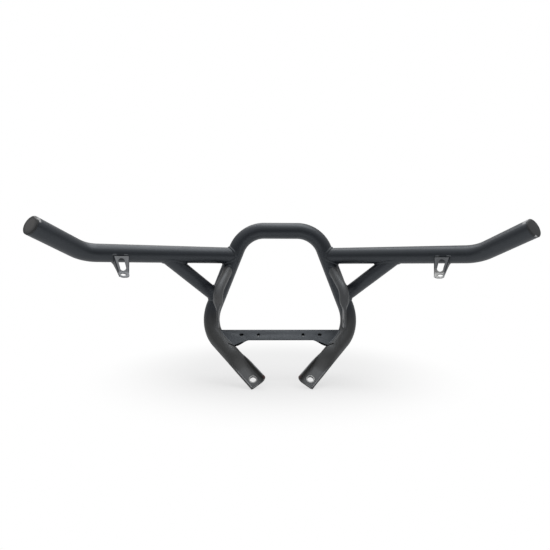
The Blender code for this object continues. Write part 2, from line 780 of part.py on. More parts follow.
def bracket_tab(name, origin, along, up, rear):
    """The foot: a tongue with a hole, folded out and down."""
    slope = (rear * cos(BRACKET_TAB_SLOPE) - up * sin(BRACKET_TAB_SLOPE)).normalized()
    left = bracket_edge(-1, BRACKET_FOLD_DROP) + BRACKET_TAB_INSET_INNER
    right = bracket_edge(1, BRACKET_FOLD_DROP) - BRACKET_TAB_INSET_OUTER
    corner = BRACKET_TAB_CORNER
    end = BRACKET_TAB_LENGTH - corner
    outline = [(left, -BRACKET_TAB_ROOT), (right, -BRACKET_TAB_ROOT)]
    outline += arc(right - corner, end, corner, 0.0, 90.0, CORNER_STEPS)
    outline += arc(left + corner, end, corner, 90.0, 180.0, CORNER_STEPS)
    hole = circle((left + right) / 2 + BRACKET_HOLE_SHIFT, BRACKET_HOLE_FROM_FOLD, BRACKET_HOLE_D / 2)
    start = origin + rear * face_offset() - up * BRACKET_FOLD_DROP
    return sheet_mesh(name, [outline, hole], BRACKET_SHEET, basis(start, along, slope, along.cross(slope)))


def make_bracket(side, word, collection, cutters, wing_cutter, material):
    """The folded sheet, its openings cut out, with the foot joined at the fold."""
    origin, along, up, rear = bracket_frame(side)
    name = f"wing_bracket_{word}"
    bracket = add_object(name, bracket_channel(name, origin, along, up, rear), material, collection)
    solidify = bracket.modifiers.new("sheet", "SOLIDIFY")
    solidify.thickness = BRACKET_SHEET
    solidify.offset = 0.0
    solidify.use_even_offset = True
    matrix = basis(origin + rear * face_offset(), along, up, along.cross(up))
    for kind, mesh in zip(("slot", "gap"), bracket_openings(matrix)):
        boolean(bracket, add_cutter(f"bracket_{kind}_{word}", mesh, cutters))
    boolean(bracket, wing_cutter)
    tab = bracket_tab(f"bracket_tab_{word}", origin, along, up, rear)
    boolean(bracket, add_cutter(f"bracket_tab_{word}", tab, cutters), "UNION")
    shade(bracket, radians(30.0))


def make_bracket_welds(side, word, collection, cutters, wing_cutter, material):
    """Two short beads above the top edge of the face, bowed so that their ends run into the tube."""
    origin, along, up, rear = bracket_frame(side)
    reach = face_offset() + BRACKET_SHEET / 2 + JOINT_GAP
    edge = BRACKET_TOP_HALF + BRACKET_WELD_LENGTH
    outline = [(-edge, -BRACKET_TOP_DROP + JOINT_GAP), (-edge, -BRACKET_BOTTOM_DROP),
               (edge, -BRACKET_BOTTOM_DROP), (edge, -BRACKET_TOP_DROP + JOINT_GAP)]
    middle = basis(origin + rear * (reach - TUBE_OD / 4), along, up, along.cross(up))
    block = sheet_mesh(f"bracket_clearance_{word}", [outline], TUBE_OD / 2, middle)
    block_cutter = add_cutter(f"bracket_clearance_{word}", block, cutters)
    for end, name in ((1, "outer"), (-1, "inner")):
        middle = end * BRACKET_WELD_HALF_SPAN + BRACKET_WELD_SHIFT
        centre = origin + along * middle + up * (BRACKET_WELD_LIFT - BRACKET_TOP_DROP) + rear * (TUBE_OD / 2)
        points = []
        for index in range(CORNER_STEPS + 1):
            share = 2 * index / CORNER_STEPS - 1
            offset = along * (share * BRACKET_WELD_LENGTH / 2) - rear * (BRACKET_WELD_BOW * share * share)
            points.append(centre + offset)
        make_bead(f"weld_bracket_{name}_{word}", points, False, BRACKET_WELD_RADIUS,
                  [wing_cutter, block_cutter], material, collection)


# End caps
def make_cap(side, word, collection, material):
    """A moulded plug turned about the end run: a crowned head with a round rim and a hollow plug."""
    head = TUBE_OD / 2
    plug = head - TUBE_WALL - JOINT_GAP
    bore = plug - CAP_PLUG_WALL
    rim = CAP_RIM_RADIUS
    flat = head - rim
    shares = [index / FOLD_STEPS for index in range(FOLD_STEPS)]
    profile = [(flat * share, CAP_HEAD + CAP_CROWN * (1 - share * share)) for share in shares]
    profile += arc(flat, CAP_HEAD - rim, rim, 90.0, 0.0, FOLD_STEPS)
    profile += [(head, 0.0), (plug, 0.0), (plug, -CAP_PLUG_LENGTH), (bore, -CAP_PLUG_LENGTH), (bore, 0.0),
                (0.0, 0.0)]
    mesh = bpy.data.meshes.new(f"end_cap_{word}")
    points = [(x, 0.0, z) for x, z in profile]
    mesh.from_pydata(points, [(index, index + 1) for index in range(len(points) - 1)], [])
    cap = add_object(f"end_cap_{word}", mesh, material, collection)
    screw = cap.modifiers.new("turn", "SCREW")
    screw.steps = BEVEL_SIDES
    screw.render_steps = BEVEL_SIDES
    screw.use_merge_vertices = True
    screw.merge_threshold = MERGE_DISTANCE
    axis = on_side(side, END_DIRECTION)
    cap.rotation_mode = "QUATERNION"
    cap.rotation_quaternion = Vector((0.0, 0.0, 1.0)).rotation_difference(axis)
    cap.location = on_side(side, WING_END) + axis * JOINT_GAP


def build():
    for obj in list(bpy.data.objects):
        bpy.data.objects.remove(obj)
    parts = bpy.data.collections.new("atv_front_bumper")
    cutters = bpy.data.collections.new("cutters")
    bpy.context.scene.collection.children.link(parts)
    bpy.context.scene.collection.children.link(cutters)

    black = finish("satin_black_powder", (0.030, 0.030, 0.034), 0.45, 0.0)
    plate_black = finish("plate_black_powder", (0.040, 0.042, 0.048), 0.5, 0.0)
    bracket_black = finish("bracket_grey_powder", (0.075, 0.076, 0.080), 0.5, 0.1)
    plastic = finish("cap_plastic", (0.055, 0.055, 0.055), 0.55, 0.0)
    bead_black = finish("weld_black_powder", (0.034, 0.034, 0.038), 0.42, 0.0)

    make_hoop(parts, cutters, black)
    hoop_line = hoop_path()
    hoop_mesh = curve_mesh("hoop_clearance", [hoop_line], False,
                           depth=clearance(TUBE_OD / 2, BEVEL_SIDES))
    hoop_cutter = add_cutter("hoop_clearance", hoop_mesh, cutters)
    plate_cutter = make_plate(hoop_line, parts, cutters, hoop_cutter, plate_black)

    for side, word in ((1, "right"), (-1, "left")):
        wing_line = wing_path(side)
        wing = tube_object(f"wing_tube_{word}", wing_line, TUBE_OD, TUBE_WALL, black, parts)
        boolean(wing, hoop_cutter)
        wing_mesh = curve_mesh(f"wing_clearance_{word}", [wing_line], False,
                               depth=clearance(TUBE_OD / 2, BEVEL_SIDES))
        wing_cutter = add_cutter(f"wing_clearance_{word}", wing_mesh, cutters)

        brace_line = [on_side(side, BRACE_TOP), on_side(side, BRACE_FOOT)]
        brace = tube_object(f"brace_tube_{word}", brace_line, BRACE_OD, TUBE_WALL, black, parts)
        boolean(brace, hoop_cutter)
        boolean(brace, wing_cutter)
        brace_mesh = bar_mesh(f"brace_clearance_{word}", brace_line[0], brace_line[1],
                              clearance(BRACE_OD / 2, BEVEL_SIDES), BEVEL_SIDES)
        brace_cutter = add_cutter(f"brace_clearance_{word}", brace_mesh, cutters)

        arm_corners = make_arm(side, word, parts, cutters, hoop_cutter, black)
        arm_mesh = bar_mesh(f"arm_clearance_{word}", arm_corners[0], arm_corners[1],
                            clearance(ARM_OD / 2, ARM_POINTS), ARM_POINTS)
        arm_cutter = add_cutter(f"arm_clearance_{word}", arm_mesh, cutters)

        wing_ring = joint_ring(wing_line[0], wing_line[1], TUBE_OD, hoop_line, TUBE_OD)
        wing_ring_mesh = curve_mesh(f"wing_weld_clearance_{word}", [wing_ring], True,
                                    depth=clearance(WELD_RADIUS, BEAD_SIDES), sides=BEAD_SIDES)
        wing_ring_cutter = add_cutter(f"wing_weld_clearance_{word}", wing_ring_mesh, cutters)
        make_bead(f"weld_wing_{word}", wing_ring, True, WELD_RADIUS, [hoop_cutter, wing_cutter],
                  bead_black, parts)
        joints = (
            ("brace_upper", brace_line, BRACE_OD, wing_line, WELD_RADIUS, [wing_cutter, brace_cutter]),
            ("brace_lower", brace_line[::-1], BRACE_OD, hoop_line, WELD_RADIUS, [hoop_cutter, brace_cutter]),
            ("arm", arm_corners, ARM_OD, hoop_line, ARM_WELD_RADIUS,
             [hoop_cutter, arm_cutter, wing_ring_cutter]),
        )
        for joint, line, diameter, host, radius, around in joints:
            ring = joint_ring(line[0], line[1], diameter, host, TUBE_OD)
            make_bead(f"weld_{joint}_{word}", ring, True, radius, around, bead_black, parts)
        make_bead(f"weld_plate_{word}", plate_weld_points(side, hoop_line), False, PLATE_WELD_RADIUS,
                  [hoop_cutter, plate_cutter], bead_black, parts)

        make_bracket(side, word, parts, cutters, wing_cutter, bracket_black)
        make_bracket_welds(side, word, parts, cutters, wing_cutter, bead_black)
        make_cap(side, word, parts, plastic)


build()
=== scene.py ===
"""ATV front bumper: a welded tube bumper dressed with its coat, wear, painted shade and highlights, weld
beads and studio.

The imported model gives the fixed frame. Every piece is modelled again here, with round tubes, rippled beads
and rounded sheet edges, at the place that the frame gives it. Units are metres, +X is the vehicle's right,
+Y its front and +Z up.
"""

from math import atan2, cos, pi, radians, sin, tan

import bmesh
import bpy
from bpy.props import FloatProperty, FloatVectorProperty, IntProperty, PointerProperty
from mathutils import Matrix, Vector


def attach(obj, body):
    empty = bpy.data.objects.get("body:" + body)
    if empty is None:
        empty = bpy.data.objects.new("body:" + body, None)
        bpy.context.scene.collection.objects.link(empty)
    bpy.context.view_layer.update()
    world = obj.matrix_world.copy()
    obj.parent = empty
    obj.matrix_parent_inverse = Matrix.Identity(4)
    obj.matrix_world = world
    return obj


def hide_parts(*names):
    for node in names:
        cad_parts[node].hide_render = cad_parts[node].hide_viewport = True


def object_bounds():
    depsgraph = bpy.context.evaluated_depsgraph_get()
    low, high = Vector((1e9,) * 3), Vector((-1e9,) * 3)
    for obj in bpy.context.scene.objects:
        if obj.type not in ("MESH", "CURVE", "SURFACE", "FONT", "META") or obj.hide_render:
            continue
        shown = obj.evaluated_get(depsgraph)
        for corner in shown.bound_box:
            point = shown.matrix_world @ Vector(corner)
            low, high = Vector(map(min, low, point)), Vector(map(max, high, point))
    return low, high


bl_info = {
    "name": "ATV Front Bumper",
    "version": (1, 0, 0),
    "blender": (4, 5, 0),
    "location": "View3D > Sidebar > Bumper",
    "description": "Models a welded tube bumper and its studio, piece by piece",
    "category": "Add Mesh",
}

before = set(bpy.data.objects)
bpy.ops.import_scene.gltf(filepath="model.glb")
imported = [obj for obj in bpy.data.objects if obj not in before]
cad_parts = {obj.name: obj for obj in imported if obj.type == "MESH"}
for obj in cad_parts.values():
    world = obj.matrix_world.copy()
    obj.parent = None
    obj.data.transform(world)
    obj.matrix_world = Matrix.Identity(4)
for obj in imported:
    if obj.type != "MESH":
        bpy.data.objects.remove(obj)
CAD_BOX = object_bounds()

# Tube stock, in metres, as the frame has it
TUBE_OD = 0.0381
BRACE_OD = 0.03175
ARM_OD = 0.0222
TUBE_WALL = 0.0021
ARM_WALL = 0.002
BEND_RADIUS = 0.070
ARM_BEND_RADIUS = 0.038
JOINT_GAP = 0.0003
PRESSED_SLIT = 0.0005

# Hoop, lower legs and pressed feet
HOOP_TOP_HALF = 0.087
HOOP_BEND_HALF = 0.179
HOOP_DROP = 0.2305
HOOP_LEAN = 0.0135
FOOT_PLANE_TILT = radians(45.0)
LEG_IN = 0.1263
LEG_DOWN_SLOPE = 0.156
PRESS_LENGTH = 0.104
PRESS_FLAT = 0.046
FOOT_FLOOR_DEPTH = 0.006
FOOT_OUTER_LIP = 0.0035
FOOT_INNER_LIP = 0.0115
FOOT_OUTER_RADIUS = 0.0032
FOOT_INNER_RADIUS = 0.0095
FOOT_EDGE_OUT = 0.0185
FOOT_EDGE_IN = 0.0208
FOOT_HOLE_D = 0.014
FOOT_HOLE_FROM_END = 0.0175

# Wings and braces
WING_DROP = 0.0595
WING_RUN = 0.333
WING_SWEEP = radians(28.0)
END_RUN = 0.120
END_SWEEP = radians(60.0)
END_RISE = radians(21.8)
BRACE_ALONG_WING = 0.1705
BRACE_DROP = 0.160

# Mounting arms
ARM_DROP = 0.082
ARM_BACK = 0.058
ARM_SPREAD = 0.0236
ARM_KNEE_DROP = 0.141
ARM_END_DROP = 0.2245
ARM_TOE_OUT = radians(2.0)
ARM_TAB_LENGTH = 0.033
ARM_TAPER_LENGTH = 0.029
ARM_TAB_CORNER = 0.0100
ARM_HOLE_D = 0.0105
ARM_HOLE_FROM_END = 0.014

# Cross plate
PLATE_BELOW_BENDS = 0.036
PLATE_RISE = 0.0148
PLATE_THICKNESS = 0.003
PLATE_HEIGHT = 0.029
PLATE_END_HEIGHT = 0.0455
PLATE_STRAIGHT_HALF = 0.073
PLATE_CURVE_END = 0.105
PLATE_END_SLOPE = 0.35
PLATE_BITE = 0.007
PLATE_SLOT_HALF = 0.092
PLATE_SLOT_LENGTH = 0.0095
PLATE_SLOT_WIDTH = 0.0065
PLATE_HOLE_HALF = 0.0525
PLATE_HOLE_D = 0.0075

PLATE_NUT_ACROSS = 0.010
PLATE_NUT_HEIGHT = 0.005
PLATE_NUT_BORE = 0.005

# Wing brackets
BRACKET_ALONG_WING = 0.2642
BRACKET_SHEET = 0.0025
BRACKET_TOP_HALF = 0.0163
BRACKET_FOOT_HALF = 0.0099
BRACKET_FOOT_SHIFT = -0.0060
BRACKET_TOP_DROP = 0.0065
BRACKET_FOLD_DROP = 0.0392
BRACKET_BOTTOM_DROP = 0.049
BRACKET_REACH_OUTER = 0.0335
BRACKET_REACH_INNER = 0.0105
BRACKET_REACH_LOW = 0.0035
BRACKET_FLANGE_HOLLOW = 0.52
BRACKET_SPLAY = radians(4.0)
BRACKET_FOLD_RADIUS = 0.0026
BRACKET_SLOT_TOP_DROP = 0.0105
BRACKET_SLOT_BOTTOM_DROP = 0.0366
BRACKET_SLOT_TOP_D = 0.0128
BRACKET_SLOT_BOTTOM_D = 0.0124
BRACKET_SLOT_TOP_SHIFT = 0.0015
BRACKET_TAB_LENGTH = 0.0205
BRACKET_TAB_SLOPE = radians(32.0)
BRACKET_HOLE_D = 0.0112
BRACKET_HOLE_FROM_FOLD = 0.0108
BRACKET_HOLE_SHIFT = 0.0018
BRACKET_TAB_INSET_INNER = 0.0022
BRACKET_TAB_INSET_OUTER = 0.0004
BRACKET_TAB_ROOT = 0.0005
BRACKET_TAB_CORNER = 0.0080

# End caps
CAP_HEAD = 0.003
CAP_RIM_RADIUS = 0.0014
CAP_PLUG_LENGTH = 0.014
CAP_PLUG_WALL = 0.002
CAP_CROWN = 0.0006

# Weld beads
WELD_RADIUS = 0.0034
ARM_WELD_RADIUS = 0.0028
PLATE_WELD_RADIUS = 0.0024
BRACKET_WELD_RADIUS = 0.0026
BRACKET_WELD_LENGTH = 0.0095
BRACKET_WELD_HALF_SPAN = 0.0112
BRACKET_WELD_SHIFT = 0.0020
BRACKET_WELD_LIFT = 0.0019

# How far a bead bulges as a share of its leg, and how far its toes lie in the metal
RING_BULGE = 0.24
PLATE_BULGE = 0.10
TACK_BULGE = 0.55
TACK_TOE_SHARE = 0.85
TOE_DEPTH = 0.00012
PLATE_TOE_DEPTH = 0.0001

# A bead's leg swings slowly: the share, the turn at each section and the start of each swing
BEAD_SWINGS = ((0.07, 0.043, 1.0), (0.05, 0.117, 0.0))

# An open bead starts and ends small
BEAD_END_SIZE = 0.25
BEAD_END_RIPPLES = 0.8

# A ripple bends back at the crown, and the bead closes below its toes
RIPPLE_LAG = 0.55
RIPPLE_SHARPNESS = 0.7
RIPPLE_MEAN = 0.6
BEAD_CORE = 0.8
BEAD_ROOT = 0.45

# Fineness of the modelled surfaces
TUBE_SIDES = 96
ARM_SIDES = 64
HOLE_SIDES = 48
BEAD_SIDES = 16
BEND_STEP = radians(3.0)
RING_STEP = 0.0025
ROW_STEPS = 24
CORNER_STEPS = 12
FOLD_STEPS = 8
SEAT_HALVINGS = 40
CONTACT_HALVINGS = 20
CONTACT_STEPS = 400
SMOOTH_ANGLE = radians(32.0)
BEAD_SMOOTH_ANGLE = radians(60.0)
FLAT_ANGLE = radians(0.6)

# The camera that took the photograph
CAMERA_PLACE = Vector((-0.0438, -1.0467, 0.1522))
CAMERA_YAW = 0.0286
CAMERA_PITCH = -0.0116
CAMERA_ROLL = 0.0030
CAMERA_LENS = 29.22
CAMERA_SENSOR = 36.0

# The long soft light overhead, turned a little so that it runs along the left wing's sweep
TOP_LIGHT_PLACE = Vector((0.05, 0.60, 2.1))
TOP_LIGHT_TURN = radians(34.0)

# The floor's shadow shows most round this place and melts away further out; the glow makes the floor pale
SHADOW_MIDDLE = Vector((0.0, 0.14, CAD_BOX[0].z))
SHADOW_INNER = 0.16
SHADOW_OUTER = 0.50
FLOOR_SHADE = 0.66
FLOOR_GLOW_IN_SHADOW = 0.62
FLOOR_GLOW_UNSEEN = 0.28

# The coat's sheen is a little blue
COOL_SHEEN = (0.87, 0.935, 1.0, 1.0)
WHITE = (1.0, 1.0, 1.0, 1.0)

# How deep and how ragged the edge is between a bracket's grey face and its flanges, whose dark coat is
# partly painted shade
FACE_EDGE_DEPTH = 0.0009
FACE_EDGE_RAGGED = 0.0012
DUST_ROUGHNESS = 0.85

# Working directions: along the plane of the feet (up and forward) and out of it (up and back)
RIGHT = Vector((1.0, 0.0, 0.0))
UP = Vector((0.0, 0.0, 1.0))
SLOPE_UP = Vector((0.0, sin(FOOT_PLANE_TILT), cos(FOOT_PLANE_TILT)))
SLOPE_OUT = Vector((0.0, -cos(FOOT_PLANE_TILT), sin(FOOT_PLANE_TILT)))

# Corner points of the centre lines, on the right side
BEND_CENTRE = SLOPE_UP * PLATE_BELOW_BENDS - SLOPE_OUT * PLATE_RISE
HOOP_BEND = BEND_CENTRE + RIGHT * HOOP_BEND_HALF
HOOP_TOP = BEND_CENTRE + Vector((0.0, -HOOP_LEAN, HOOP_DROP))
HOOP_CORNER = HOOP_TOP + RIGHT * HOOP_TOP_HALF
FOOT_END = HOOP_BEND - RIGHT * LEG_IN - SLOPE_UP * LEG_DOWN_SLOPE
LEG_DIRECTION = (FOOT_END - HOOP_BEND).normalized()
FOOT_SIDE = SLOPE_OUT.cross(LEG_DIRECTION)
FOOT_HOLE = FOOT_END - LEG_DIRECTION * FOOT_HOLE_FROM_END - SLOPE_OUT * FOOT_FLOOR_DEPTH
FOOT_TIP = FOOT_END - FOOT_SIDE * FOOT_EDGE_IN + SLOPE_OUT * (FOOT_INNER_LIP - FOOT_FLOOR_DEPTH)

WING_START = HOOP_CORNER.lerp(HOOP_BEND, WING_DROP / HOOP_DROP)
WING_DIRECTION = Vector((cos(WING_SWEEP), -sin(WING_SWEEP), 0.0))
WING_REAR = Vector((-sin(WING_SWEEP), -cos(WING_SWEEP), 0.0))
WING_BEND = WING_START + WING_DIRECTION * WING_RUN
END_DIRECTION = Vector((cos(END_RISE) * cos(END_SWEEP), -cos(END_RISE) * sin(END_SWEEP), sin(END_RISE)))
WING_END = WING_BEND + END_DIRECTION * END_RUN

BRACE_TOP = WING_START + WING_DIRECTION * BRACE_ALONG_WING
BRACE_FOOT = HOOP_CORNER.lerp(HOOP_BEND, BRACE_DROP / HOOP_DROP)

ARM_START = HOOP_CORNER.lerp(HOOP_BEND, ARM_DROP / HOOP_DROP)
ARM_KNEE = Vector((ARM_START.x + ARM_SPREAD, HOOP_TOP.y - ARM_BACK, HOOP_TOP.z - ARM_KNEE_DROP))
ARM_END = ARM_KNEE - UP * (ARM_END_DROP - ARM_KNEE_DROP)
ARM_TAB_WIDE = Vector((-sin(ARM_TOE_OUT), -cos(ARM_TOE_OUT), 0.0))

BRACKET_PLACE = WING_START + WING_DIRECTION * BRACKET_ALONG_WING
BRACKET_FACE = TUBE_OD / 2 + JOINT_GAP + BRACKET_SHEET / 2


# What a user may change
class BumperDetail(bpy.types.PropertyGroup):
    """Sizes of the fine detail that the frame leaves to the finish."""
    edge_round: FloatProperty(name="Edge rounding", description="Radius left on a cut sheet edge",
                              default=0.00045, min=0.0, unit="LENGTH")
    ripple_pitch: FloatProperty(name="Weld ripple pitch", description="Distance between two weld ripples",
                                default=0.0021, min=0.0005, unit="LENGTH")
    ripple_depth: FloatProperty(name="Weld ripple depth", description="Share of the bead's radius",
                                default=0.10, min=0.0, max=0.5, subtype="FACTOR")
    bead_steps: IntProperty(name="Steps per ripple", description="Sections modelled in each weld ripple",
                            default=6, min=3)


class BumperColours(bpy.types.PropertyGroup):
    """Colours of the coat, the caps, what shows where they are worn, and painted shade."""
    coat: FloatVectorProperty(name="Powder coat", description="Satin black coat of the tubes",
                              default=(0.0080, 0.0105, 0.0160), size=3, subtype="COLOR")
    # The arm coat is lightened partly as a painted highlight, besides its dust
    arm: FloatVectorProperty(name="Arm coat", description="Duller, dusty coat of the mounting arms",
                             default=(0.070, 0.071, 0.073), size=3, subtype="COLOR")
    plate: FloatVectorProperty(name="Plate coat", description="Coat of the cross plate",
                               default=(0.016, 0.0200, 0.0265), size=3, subtype="COLOR")
    bracket: FloatVectorProperty(name="Bracket coat", description="Thin grey coat of the wing brackets",
                                 default=(0.300, 0.308, 0.322), size=3, subtype="COLOR")
    plastic: FloatVectorProperty(name="Cap plastic", description="Moulded plastic of the end caps",
                                 default=(0.044, 0.044, 0.044), size=3, subtype="COLOR")
    # The rubbed coat also paints highlights along the feet's lip crests
    rubbed: FloatVectorProperty(name="Rubbed coat", description="Pale coat where an edge is rubbed",
                                default=(0.30, 0.30, 0.31), size=3, subtype="COLOR")
    bare_steel: FloatVectorProperty(name="Bare steel", description="Steel where the coat is gone",
                                    default=(0.46, 0.46, 0.45), size=3, subtype="COLOR")
    # Painted shade: the dark strip along the plate's curved lower ends, the dark line on the legs below the
    # plate's lower corners, and the nuts behind the plate's holes
    painted_shade: FloatVectorProperty(name="Thick coat", description="Black coat that ran along an edge",
                               default=(0.003, 0.003, 0.0035), size=3, subtype="COLOR")
    rust: FloatVectorProperty(name="Rust", description="Rust at the feet's inner tips",
                              default=(0.075, 0.022, 0.016), size=3, subtype="COLOR")
    tack: FloatVectorProperty(name="Tack welds", description="Thin coat of the brackets' tack welds",
                              default=(0.050, 0.052, 0.057), size=3, subtype="COLOR")
    scuff: FloatVectorProperty(name="Scuffs", description="Whitened plastic and coat on scraped ends",
                               default=(0.62, 0.62, 0.62), size=3, subtype="COLOR")
    grime: FloatVectorProperty(name="Grime", description="Film of dirt on the lower legs and feet",
                               default=(0.036, 0.0330, 0.0285), size=3, subtype="COLOR")
    # Dust also paints part of the highlights on the left arm and in the feet's troughs
    dust: FloatVectorProperty(name="Dust", description="Dust that lies on upward faces",
                              default=(0.16, 0.155, 0.15), size=3, subtype="COLOR")


class BumperStudio(bpy.types.PropertyGroup):
    """The floor and the light."""
    floor_height: FloatProperty(name="Floor height", description="Height of the floor under the feet",
                                default=CAD_BOX[0].z, unit="LENGTH")
    floor_size: FloatProperty(name="Floor size", description="Side of the square floor",
                              default=24.0, unit="LENGTH")
    floor_front: FloatProperty(name="Floor front", description="Where the floor ends on the camera's side",
                               default=-0.66, unit="LENGTH")
    top_power: FloatProperty(name="Top light", description="Power of the light above the bumper",
                             default=24.0, unit="POWER")
    top_width: FloatProperty(name="Top light width", description="Width of the light above the bumper",
                             default=1.2, unit="LENGTH")
    top_length: FloatProperty(name="Top light length", description="Length of the light, front to back",
                              default=3.2, unit="LENGTH")
    sky_level: FloatProperty(name="Upper level", description="Brightness of the studio overhead",
                             default=0.90)
    wall_level: FloatProperty(name="Wall level", description="Brightness of the studio at eye height",
                              default=0.17)
    backdrop_level: FloatProperty(name="Backdrop level", default=0.50,
                                  description="White backdrop as glossy metal shows it")


# Geometry helpers
def smooth_step(value):
    """From 0 to 1, level at both ends."""
    value = min(1.0, max(0.0, value))
    return value * value * (3 - 2 * value)


def rounded_path(corners, radius, step=BEND_STEP):
    """Points along straight runs joined at each inner corner by an arc of the given radius."""
    points = [corners[0]]
    for before, corner, after in zip(corners, corners[1:], corners[2:]):
        back = (before - corner).normalized()
        ahead = (after - corner).normalized()
        turn = pi - back.angle(ahead)
        centre = corner + (back + ahead).normalized() * (radius / cos(turn / 2))
        start = corner + back * (radius * tan(turn / 2)) - centre
        count = max(2, round(turn / step))
        for index in range(count + 1):
            angle = turn * index / count
            points.append(centre + start * cos(angle) - back * (radius * sin(angle)))
    points.append(corners[-1])
    return points


def on_side(side, point):
    """The point itself on the right (side 1) or its mirror image on the left (side -1)."""
    return Vector((side * point.x, point.y, point.z))


def path_length(points):
    """The length of a polyline."""
    return sum((end - start).length for start, end in zip(points, points[1:]))


def point_along(points, distance):
    """The point of a polyline at a distance from its start, and the direction there."""
    for start, end in zip(points, points[1:]):
        length = (end - start).length
        if distance <= length or end is points[-1]:
            return start + (end - start) * (distance / length), (end - start).normalized()
        distance -= length


def nearest_on_path(point, points):
    """The point of a polyline that lies nearest to a point."""
    best, least = None, None
    for start, end in zip(points, points[1:]):
        run = end - start
        share = min(1.0, max(0.0, (point - start).dot(run) / run.length_squared))
        candidate = start + run * share
        gap = (point - candidate).length_squared
        if least is None or gap < least:
            best, least = candidate, gap
    return best


def distance_to_path(point, points):
    """How far a point lies from a polyline."""
    return (point - nearest_on_path(point, points)).length


def arc(centre_x, centre_y, radius, start, end, count):
    """Points on an arc, angles in degrees."""
    steps = [radians(start + (end - start) * index / count) for index in range(count + 1)]
    return [(centre_x + radius * cos(angle), centre_y + radius * sin(angle)) for angle in steps]


def basis(origin, x_axis, y_axis, z_axis):
    """A matrix with its origin and its three axes."""
    matrix = Matrix((x_axis, y_axis, z_axis)).transposed().to_4x4()
    matrix.translation = origin
    return matrix


HOOP_LINE = rounded_path([HOOP_TOP - RIGHT * TUBE_OD, HOOP_CORNER, HOOP_BEND, FOOT_END], BEND_RADIUS)
WING_LINE = rounded_path([WING_START, WING_BEND, WING_END], BEND_RADIUS)


# Modelling helpers
def select_only(obj):
    """Selects one object, and makes it the active one."""
    bpy.ops.object.select_all(action="DESELECT")
    obj.select_set(True)
    bpy.context.view_layer.objects.active = obj


def edit_all(obj):
    """Opens a piece in edit mode with all of it selected."""
    select_only(obj)
    bpy.ops.object.mode_set(mode="EDIT")
    bpy.ops.mesh.select_all(action="SELECT")


def leave_edit():
    """Goes back to object mode."""
    bpy.ops.object.mode_set(mode="OBJECT")


def apply_place(obj):
    """Puts the object at the origin, unturned and unscaled, with its place in its mesh."""
    select_only(obj)
    bpy.ops.object.transform_apply(location=True, rotation=True, scale=True)


def apply_modifier(obj, kind, **values):
    """Adds a modifier, sets it and applies it."""
    modifier = obj.modifiers.new(kind.lower(), kind)
    for name, value in values.items():
        setattr(modifier, name, value)
    select_only(obj)
    bpy.ops.object.modifier_apply(modifier=modifier.name)


def cut(obj, cutter, operation="DIFFERENCE"):
    """Cuts or joins a piece with another solid, which goes."""
    apply_modifier(obj, "BOOLEAN", object=cutter, operation=operation, solver="EXACT")
    bpy.data.objects.remove(cutter)


def face_outwards(obj):
    """Merges the doubles of a closed or open skin and turns its faces outwards."""
    edit_all(obj)
    bpy.ops.mesh.remove_doubles(threshold=0.00001)
    bpy.ops.mesh.normals_make_consistent(inside=False)
    leave_edit()


def sweep_tube(corners, bend_radius, radius, sides, tail=0.0, capped=False):
    """A tube's skin: a circle pulled along each straight run and spun round each bend.

    The last stretch, as long as the tail, is pulled in short steps so that it can be pressed into shape."""
    direction = (corners[1] - corners[0]).normalized()
    bpy.ops.object.select_all(action="DESELECT")
    bpy.ops.mesh.primitive_circle_add(vertices=sides, radius=radius, location=corners[0],
                                      fill_type="NGON" if capped else "NOTHING",
                                      rotation=direction.to_track_quat("Z", "Y").to_euler())
    tube = bpy.context.object
    bpy.ops.object.mode_set(mode="EDIT")
    bpy.ops.mesh.select_all(action="SELECT")
    place = corners[0]
    for corner, after in zip(corners[1:], corners[2:]):
        ahead = (after - corner).normalized()
        turn = direction.angle(ahead)
        setback = bend_radius * tan(turn / 2)
        start = corner - direction * setback
        bpy.ops.mesh.extrude_region_move(TRANSFORM_OT_translate={"value": start - place})
        centre = corner + (ahead - direction).normalized() * (bend_radius / cos(turn / 2))
        bpy.ops.mesh.spin(steps=max(2, round(turn / BEND_STEP)), angle=turn, center=centre,
                          axis=-direction.cross(ahead))
        place = corner + ahead * setback
        direction = ahead
    run = corners[-1] - place
    bpy.ops.mesh.extrude_region_move(TRANSFORM_OT_translate={"value": run - direction * tail})
    steps = round(tail / RING_STEP)
    for _ in range(steps):
        bpy.ops.mesh.extrude_region_move(TRANSFORM_OT_translate={"value": direction * (tail / steps)})
    leave_edit()
    apply_place(tube)
    face_outwards(tube)
    return tube


def round_cutter(start, end, radius):
    """A plain round bar between two points, to cut a hole with."""
    axis = end - start
    bpy.ops.object.select_all(action="DESELECT")
    bpy.ops.mesh.primitive_cylinder_add(vertices=HOLE_SIDES, radius=radius, depth=axis.length,
                                        location=(start + end) / 2,
                                        rotation=axis.to_track_quat("Z", "Y").to_euler())
    bar = bpy.context.object
    apply_place(bar)
    return bar


def outline_solid(outline, thickness, matrix):
    """A flat solid from a closed outline in the matrix's XY plane, half its thickness on each side."""
    bpy.ops.object.select_all(action="DESELECT")
    bpy.ops.mesh.primitive_circle_add(vertices=len(outline), radius=1.0, fill_type="NGON")
    solid = bpy.context.object
    for vertex, (x, y) in zip(solid.data.vertices, outline):
        vertex.co = (x, y, -thickness / 2)
    bpy.ops.object.mode_set(mode="EDIT")
    bpy.ops.mesh.select_all(action="SELECT")
    bpy.ops.mesh.extrude_region_move(TRANSFORM_OT_translate={"value": (0.0, 0.0, thickness)})
    leave_edit()
    solid.matrix_world = matrix
    apply_place(solid)
    face_outwards(solid)
    return solid


